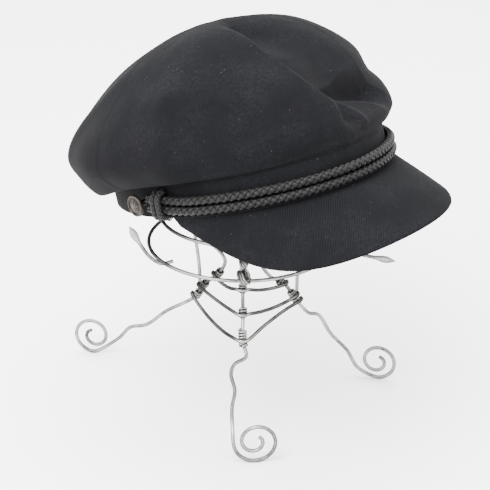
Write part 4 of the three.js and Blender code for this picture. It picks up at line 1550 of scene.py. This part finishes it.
@dataclass
class WireStand:
    """Stand bent from steel wire: legs, rings, stays, arms and bindings.

    Attributes:
        oval: Oval of the band.
        place: Place of the stand.
        wire: Diameter of the wire.
        binding: Diameter of the binding wire.
        coil_turns: Turns of a coil at a web wire, and of the long one on the front upright.
        turn: Bearing of the front leg.
        knee_height: Height of the knees.
        neck: Radius and height of the neck.
        rib_bend: Radius and height of the ribs' bend.
        cradle: Radius and height of the cradle rings, by node.
        webs: The web wires.
        head_level: Height of the head ring in the cap.
        scroll_turns: Turns of a scroll.
        scroll_inner: Radius at a scroll's inner end.
        leaf: Length, width and thickness of the arms' leaves.
        legs: The three legs.
        stays: Bearing of the stays, and radius and height of their feet, by node.
        arms: Bearing of the arms, and radii and heights along them, by node.
    """

    oval: BandOval
    place: Placing
    wire: float = 2.6
    binding: float = 1.9
    coil_turns: tuple = (3, 6)
    turn: float = -37.7
    knee_height: float = 57.0
    neck: tuple = (15.0, 96.0)
    rib_bend: tuple = (62.0, 119.0)
    cradle: dict = field(default_factory=lambda: {
        "cradle_low": (65.5, 115.0), "cradle_high": (57.0, 136.0),
    })
    webs: tuple = (
        Web("web_low", (60.5, 59.5, 57.5), (5.0, -2.0)),
        Web("web_mid", (70.0, 73.0, 62.5), (1.0, 2.5)),
        Web("web_high", (83.0, 86.0, 74.0), (3.0, 2.0)),
    )
    head_level: float = 5.0
    scroll_turns: float = 1.45
    scroll_inner: float = 4.4
    leaf: tuple = (15.0, 5.0, 1.4)
    legs: tuple = (
        Leg("leg_front", (44.5, 0.5, 0.0), (107.0, 3.8), 14.5, True, (
            (0.12, 1.5, 50), (0.19, -7, 47), (0.28, -10, 43), (0.46, -8.5, 36),
            (0.64, -11.5, 30), (0.86, -12.6, 22),
        )),
        Leg("leg_left", (42.5, -124.0, 0.0), (120.0, -111.0), 13.6, False, (
            (0.27, 0, 43), (0.47, 0, 29.5), (0.63, 0, 25.5), (0.75, 0, 15),
        )),
        Leg("leg_right", (46.0, 118.0, 3.4), (98.0, 93.0), 12.8, False, (
            (0.13, 0, 46.5), (0.25, 0, 46), (0.41, 0, 32), (0.62, 0, 20), (0.76, 0, 7),
        )),
    )
    stays: dict = field(default_factory=lambda: {
        "stay_left": (-134.0, 43.5, 62.0), "stay_right": (128.0, 50.0, 58.0),
    })
    arms: dict = field(default_factory=lambda: {
        "arm_left": (-75.0, ((50, 104), (58, 103), (66, 109), (74, 122), (80, 134))),
        "arm_right": (82.0, ((54, 110.5), (68, 111), (86, 108), (107, 105))),
    })

    def leg_path(self, leg: Leg) -> np.ndarray:
        """Middle line of a leg: rib, neck, upright, knee, the way down and a spiral scroll.

        Args:
            leg: Sizes of the leg.

        Returns:
            Evenly spaced points in the stand's frame.
        """
        knee, foot = leg.knee[1] + self.turn, leg.foot[1] + self.turn
        inset = self.oval.wall + 2 * self.oval.gap + 1.5 * self.wire
        rim = polar(self.oval.radius(np.array(knee), inset), knee, self.head_level)
        top = self.place.cap(rim) - self.place.axis
        neck, level = self.neck
        mid = (neck + leg.knee[0]) / 2 + 4
        upper = np.array([
            self.rib_bend, (38, level + 11), (21, level + 5), (neck, level - 2), (neck + 6, level - 14),
            (mid, self.knee_height + 14), (leg.knee[0], self.knee_height - leg.knee[2]),
        ], float)
        upper = polar(upper[:, 0], knee, upper[:, 1])
        start = polar(leg.knee[0], knee, 0.0)
        along = polar(leg.foot[0], foot, 0.0) - start
        length = np.linalg.norm(along)
        along = along / length
        side = np.array([-along[1], along[0], 0.0])
        way = np.array(leg.way, float)
        down = start + way[:, :1] * length * along + way[:, 1:2] * side + way[:, 2:] * UP
        share = np.linspace(0, 1, 19)
        turns = self.scroll_turns + (0.15 if leg.sideways else 0.0)
        angle = np.radians((-165.0 if leg.sideways else -90.0) + 360.0 * turns * share)
        radius = leg.scroll + (self.scroll_inner - leg.scroll) * smooth(share, 0.1, 1.05)
        reach, z = radius * np.cos(angle), leg.scroll + self.wire / 2 + radius * np.sin(angle)
        if leg.sideways:
            scroll = start + length * along + (reach[:, None] + 1.8) * side + z[:, None] * UP
        else:
            scroll = start + (length + reach[:, None]) * along + z[:, None] * UP
        return curve(np.concatenate([top[None], upper, down, scroll]), 1.4)

    def upright_at(self, leg: Leg, level: float) -> np.ndarray:
        """Point where a leg's upright crosses a level.

        Args:
            leg: Sizes of the leg.
            level: Height of the crossing.

        Returns:
            The nearest point of the leg's middle line.
        """
        path = self.leg_path(leg)
        inside = (np.hypot(path[:, 0], path[:, 1]) < leg.knee[0] + 1) & (path[:, 2] < self.neck[1])
        kept = path[inside]
        return kept[np.abs(kept[:, 2] - level).argmin()]

    def web_path(self, web: Web) -> np.ndarray:
        """Web wire outside the three uprights, like a belt round pins that is open at the back.

        It bends round each pin on an arc, and between the pins it sags by 4 s t (1 - t).

        Args:
            web: Sizes of the web wire.

        Returns:
            Evenly spaced points in the stand's frame.
        """
        legs = {leg.node: leg for leg in self.legs}
        order = [legs[node] for node in ("leg_left", "leg_front", "leg_right")]
        pins = np.array([self.upright_at(leg, level) for leg, level in zip(order, web.levels)])
        clear = self.wire + 1.9
        ahead = np.roll(pins, -1, 0) - pins
        to = np.arctan2(-ahead[:, 0], ahead[:, 1])
        start = np.roll(to, 1)
        a = start[:, None] + ((to - start) % (2 * np.pi))[:, None] * np.linspace(0, 1, 5)
        bend = pins[:, None] + clear * np.stack([np.cos(a), np.sin(a), 0 * a], -1)
        share = np.array([0.25, 0.5, 0.75])[:, None]
        runs = [bend[i, -1] + (bend[i + 1, 0] - bend[i, -1]) * share for i in (0, 1)]
        for run, sag in zip(runs, web.sags):
            run[:, 2] -= 4 * sag * (share * (1 - share))[:, 0]
        return curve(np.concatenate([bend[0, 2:], runs[0], bend[1], runs[1], bend[2, :3]]), 1.2)

    def stay_path(self, bearing: float, radius: float, height: float) -> np.ndarray:
        """Line of a stay from beside a knee up to the higher cradle ring.

        Args:
            bearing: Bearing of the stay from the front leg's.
            radius: Radius of its foot.
            height: Height of its foot.

        Returns:
            Evenly spaced points in the stand's frame.
        """
        wide, level = self.cradle["cradle_high"]
        knots = np.array([
            (radius, height), (radius + 0.5, height + 18), ((radius + wide) / 2, level - 24),
            (wide, level - self.wire / 2 - self.oval.gap - 0.2),
        ])
        return curve(polar(knots[:, 0], bearing + self.turn, knots[:, 1]), 1.5)

    def arm_patch(self, bearing: float, way: tuple) -> Patch:
        """Arm of round wire that is beaten flat into a leaf at its tip.

        The section is an ellipse whose half axes ease from the wire's radius to the leaf's half
        width, swelling as a sine, and its half thickness.

        Args:
            bearing: Bearing of the arm from the front leg's.
            way: Radii and heights that it runs through.

        Returns:
            The arm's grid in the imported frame.
        """
        turn = bearing + self.turn
        knots = np.array(way, float)
        path = curve(polar(knots[:, 0], turn, knots[:, 1]), 0.8)
        run = np.linspace(0, 1, len(path)) * 0.8 * (len(path) - 1)
        long, wide, thick = self.leaf
        into = np.clip((run - run[-1] + long) / long, 0.0, 1.0)
        half = self.wire / 2 * (1 - into) + wide / 2 * np.sin(np.pi * np.minimum(into, 0.97)) * into**0.3
        flat = self.wire / 2 * (1 - into) + thick / 2 * into
        across = polar(1.0, turn + 90.0, 0.0)
        face = unit(np.cross(unit(np.gradient(path, axis=0)), across))
        a = np.linspace(0, 2 * np.pi, 12, endpoint=False)[None, :, None]
        ring = flat[:, None, None] * across * np.cos(a) + half[:, None, None] * face[:, None] * np.sin(a)
        points = path[:, None] + ring
        tip = np.broadcast_to(path[[0, -1]][:, None], (2, 12, 3))
        return Patch(self.place.stand(np.concatenate([tip[:1], points, tip[1:]])))

    def coil(self, path: np.ndarray, level: float, turns: float) -> Patch:
        """Binding wire wound round a wire at a level: a helix about the wire's own line.

        Args:
            path: Points of the wire that is bound.
            level: Height of the coil's middle.
            turns: Number of turns.

        Returns:
            The coil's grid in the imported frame.
        """
        middle = int(np.abs(path[:, 2] - level).argmin())
        step = np.linalg.norm(path[1] - path[0])
        share = np.linspace(-0.5, 0.5, int(20 * turns))
        rise = 1.06 * self.binding
        place = np.clip(middle + share * turns * rise / step, 0, len(path) - 1.001)
        _, first, second = (read_at(rows, place) for rows in frames(path))
        a = 2 * np.pi * turns * share
        lift = self.wire / 2 + self.binding / 2
        line = read_at(path, place) + lift * (first * np.cos(a)[:, None] + second * np.sin(a)[:, None])
        return Patch(self.place.stand(sweep(line, self.binding / 2, 8)))

    def lashing(self, upright: np.ndarray, ring: np.ndarray) -> Patch:
        """Turns of binding wire round two wires that pass each other: a helix about the short way.

        Args:
            upright: Points of the first wire.
            ring: Points of the second wire.

        Returns:
            The lashing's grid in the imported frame.
        """
        away = np.linalg.norm(upright[:, None] - ring[None], axis=-1)
        i, j = np.unravel_index(away.argmin(), away.shape)
        middle, apart = (upright[i] + ring[j]) / 2, ring[j] - upright[i]
        out = unit(apart)
        line = unit(upright[min(i + 2, len(upright) - 1)] - upright[max(i - 2, 0)])
        cross = unit(ring[min(j + 2, len(ring) - 1)] - ring[max(j - 2, 0)])
        slant = unit(line + cross * np.sign(line @ cross + 1e-6))
        flat = unit(np.cross(slant, out))
        share = np.linspace(-0.5, 0.5, 64)
        a = 2 * np.pi * 3 * share
        long = np.linalg.norm(apart) / 2 + self.wire / 2 + self.binding / 2
        short = self.wire / 2 + self.binding / 2 + 0.3
        path = middle + long * np.cos(a)[:, None] * out + short * np.sin(a)[:, None] * flat
        path = path + (share * 3 * self.binding * 1.05)[:, None] * slant
        return Patch(self.place.stand(sweep(path, self.binding / 2, 8)))

    def tube(self, node: str, path: np.ndarray, closed: bool = False) -> bpy.types.Object:
        """Round wire along a path in the stand's frame, named for its node."""
        rings = sweep(self.place.stand(path), self.wire / 2, 12, closed)
        return make_mesh(f"{node}_wire", [Patch(rings, wrap_rows=closed)])

    def dress(self, steel: bpy.types.Material) -> None:
        """Builds every wire of the stand and its bindings in steel.

        Args:
            steel: Wire material.
        """
        paths = {leg.node: self.leg_path(leg) for leg in self.legs}
        webs = {web.node: self.web_path(web) for web in self.webs}
        rings = {}
        around = np.linspace(0, 360, 120, endpoint=False)
        for node, (radius, height) in self.cradle.items():
            rings[node] = polar(radius, around, np.full_like(around, height))
        inset = self.oval.wall + self.oval.gap + self.wire / 2
        head = polar(self.oval.radius(around, inset), around, np.full_like(around, self.head_level))
        rings["head_ring"] = self.place.cap(head) - self.place.axis
        stays = {node: self.stay_path(*sizes) for node, sizes in self.stays.items()}
        for node, path in {**paths, **webs, **stays}.items():
            settle(self.tube(node, path), Slot.WIRE, steel, node)
        for node, path in rings.items():
            settle(self.tube(node, path, True), Slot.WIRE, steel, node)
        for node, (bearing, way) in self.arms.items():
            settle(make_mesh(f"{node}_wire", [self.arm_patch(bearing, way)]), Slot.WIRE, steel, node)
        bindings = [self.lashing(leg, ring) for leg in paths.values() for ring in rings.values()]
        bindings += [self.lashing(stay, rings["cradle_high"]) for stay in stays.values()]
        for web in self.webs:
            for node, level in zip(("leg_left", "leg_front", "leg_right"), web.levels):
                turns = self.coil_turns[1 if (node, web.node) == ("leg_front", "web_low") else 0]
                bindings.append(self.coil(paths[node][: len(paths[node]) // 2 + 20], level, turns))
        settle(make_mesh("stand_bindings", bindings), Slot.WIRE, steel)


@dataclass
class Studio:
    """Pale floor, soft lights and the camera at the photograph's angle.

    Attributes:
        place: Place of the cap, whose rim the camera is set from.
        azimuth: Bearing of the camera, in degrees.
        elevation: Height of the camera above the horizon, in degrees.
        distance: Distance of the camera from the rim's middle.
        focal: Focal length in picture widths.
        aim: Aim beside the rim's middle, to the right and up.
    """

    place: Placing
    azimuth: float = -37.74
    elevation: float = 23.0
    distance: float = 1100.0
    focal: float = 1612.6 / 490.0
    aim: tuple = (-3.75, -46.4)

    def camera(self) -> None:
        """Sets the camera on a line from the rim's middle, aimed so that the picture fits."""
        a, e = math.radians(self.azimuth), math.radians(self.elevation)
        back = Vector((math.sin(a) * math.cos(e), -math.cos(a) * math.cos(e), math.sin(e)))
        right = Vector((math.cos(a), math.sin(a), 0.0))
        rim = Vector(self.place.cap(np.zeros(3)))
        target = rim + right * self.aim[0] + back.cross(right) * self.aim[1]
        eye = rim + back * self.distance
        data = bpy.data.cameras.new("camera")
        data.sensor_width = 36.0
        data.lens = 36.0 * self.focal
        data.clip_start, data.clip_end = 0.05, 50.0
        camera = bpy.data.objects.new("camera", data)
        camera.location = eye * MM
        camera.rotation_euler = (target - eye).to_track_quat("-Z", "Y").to_euler()
        bpy.context.scene.collection.objects.link(camera)
        bpy.context.scene.camera = camera

    def light(self, name: str, spot: tuple, size: float, power: float) -> None:
        """Adds a square area light aimed at the object.

        Args:
            name: Name of the light.
            spot: Azimuth, elevation and distance in metres.
            size: Side of the light in metres.
            power: Power in watts.
        """
        a, e = math.radians(spot[0]), math.radians(spot[1])
        back = Vector((math.sin(a) * math.cos(e), -math.cos(a) * math.cos(e), math.sin(e)))
        data = bpy.data.lights.new(name, "AREA")
        data.size, data.energy = size, power
        lamp = bpy.data.objects.new(name, data)
        lamp.location = Vector((0, 0, 0.15)) + back * spot[2]
        lamp.rotation_euler = (-back).to_track_quat("-Z", "Y").to_euler()
        bpy.context.scene.collection.objects.link(lamp)

    def floor(self) -> None:
        """Adds a wide pale floor under the stand's feet."""
        half = 4000.0
        axis = np.linspace(-half, half, 9)
        x, y = np.meshgrid(axis, axis, indexing="ij")
        piece = make_mesh("floor", [Patch(np.stack([x, y, 0 * x - 0.05], -1), wrap_columns=False)])
        nodes, shader = start_material("pale_floor")
        link(nodes, shader, Base_Color=(0.92, 0.92, 0.92, 1), Roughness=0.9, Specular_IOR_Level=0.1)
        piece.data.materials.append(bpy.data.materials["pale_floor"])

    def build(self) -> None:
        """Sets the camera, the lights, the bright surroundings and the floor."""
        self.camera()
        self.light("key", (-75.0, 52.0, 1.6), 1.2, 95.0)
        self.light("fill", (35.0, 35.0, 1.8), 1.4, 28.0)
        self.light("top", (150.0, 70.0, 1.8), 1.6, 75.0)
        world = bpy.data.worlds.new("surroundings")
        world.use_nodes = True
        sky = world.node_tree.nodes["Background"]
        sky.inputs["Color"].default_value = (1, 1, 1, 1)
        sky.inputs["Strength"].default_value = 3.4
        bpy.context.scene.world = world
        self.floor()


def main() -> None:
    """Builds the cap and the stand in order, then the studio, and notes the sizes."""
    logging.basicConfig(level=logging.INFO, format="%(name)s %(message)s")
    low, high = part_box("cradle_low")
    middle = np.array((low + high) / 2) / MM
    place = Placing(axis=middle - np.array([0.0, 0.0, 115.0]))
    oval = BandOval()
    cloth = TwillCloth().material()
    yarn = BraidedYarn().material()
    CapCrown(oval, place).dress(cloth)
    CapBand(oval, place).dress(cloth)
    CapPeak(oval, place).dress(cloth)
    PlaitedCords(oval, place).dress(yarn)
    MetalButtons(oval, place).dress(AgedMetal().material())
    WireStand(oval, place).dress(DrawnWire().material())
    Studio(place).build()
    bpy.context.view_layer.update()


if __name__ == "__main__":
    main()
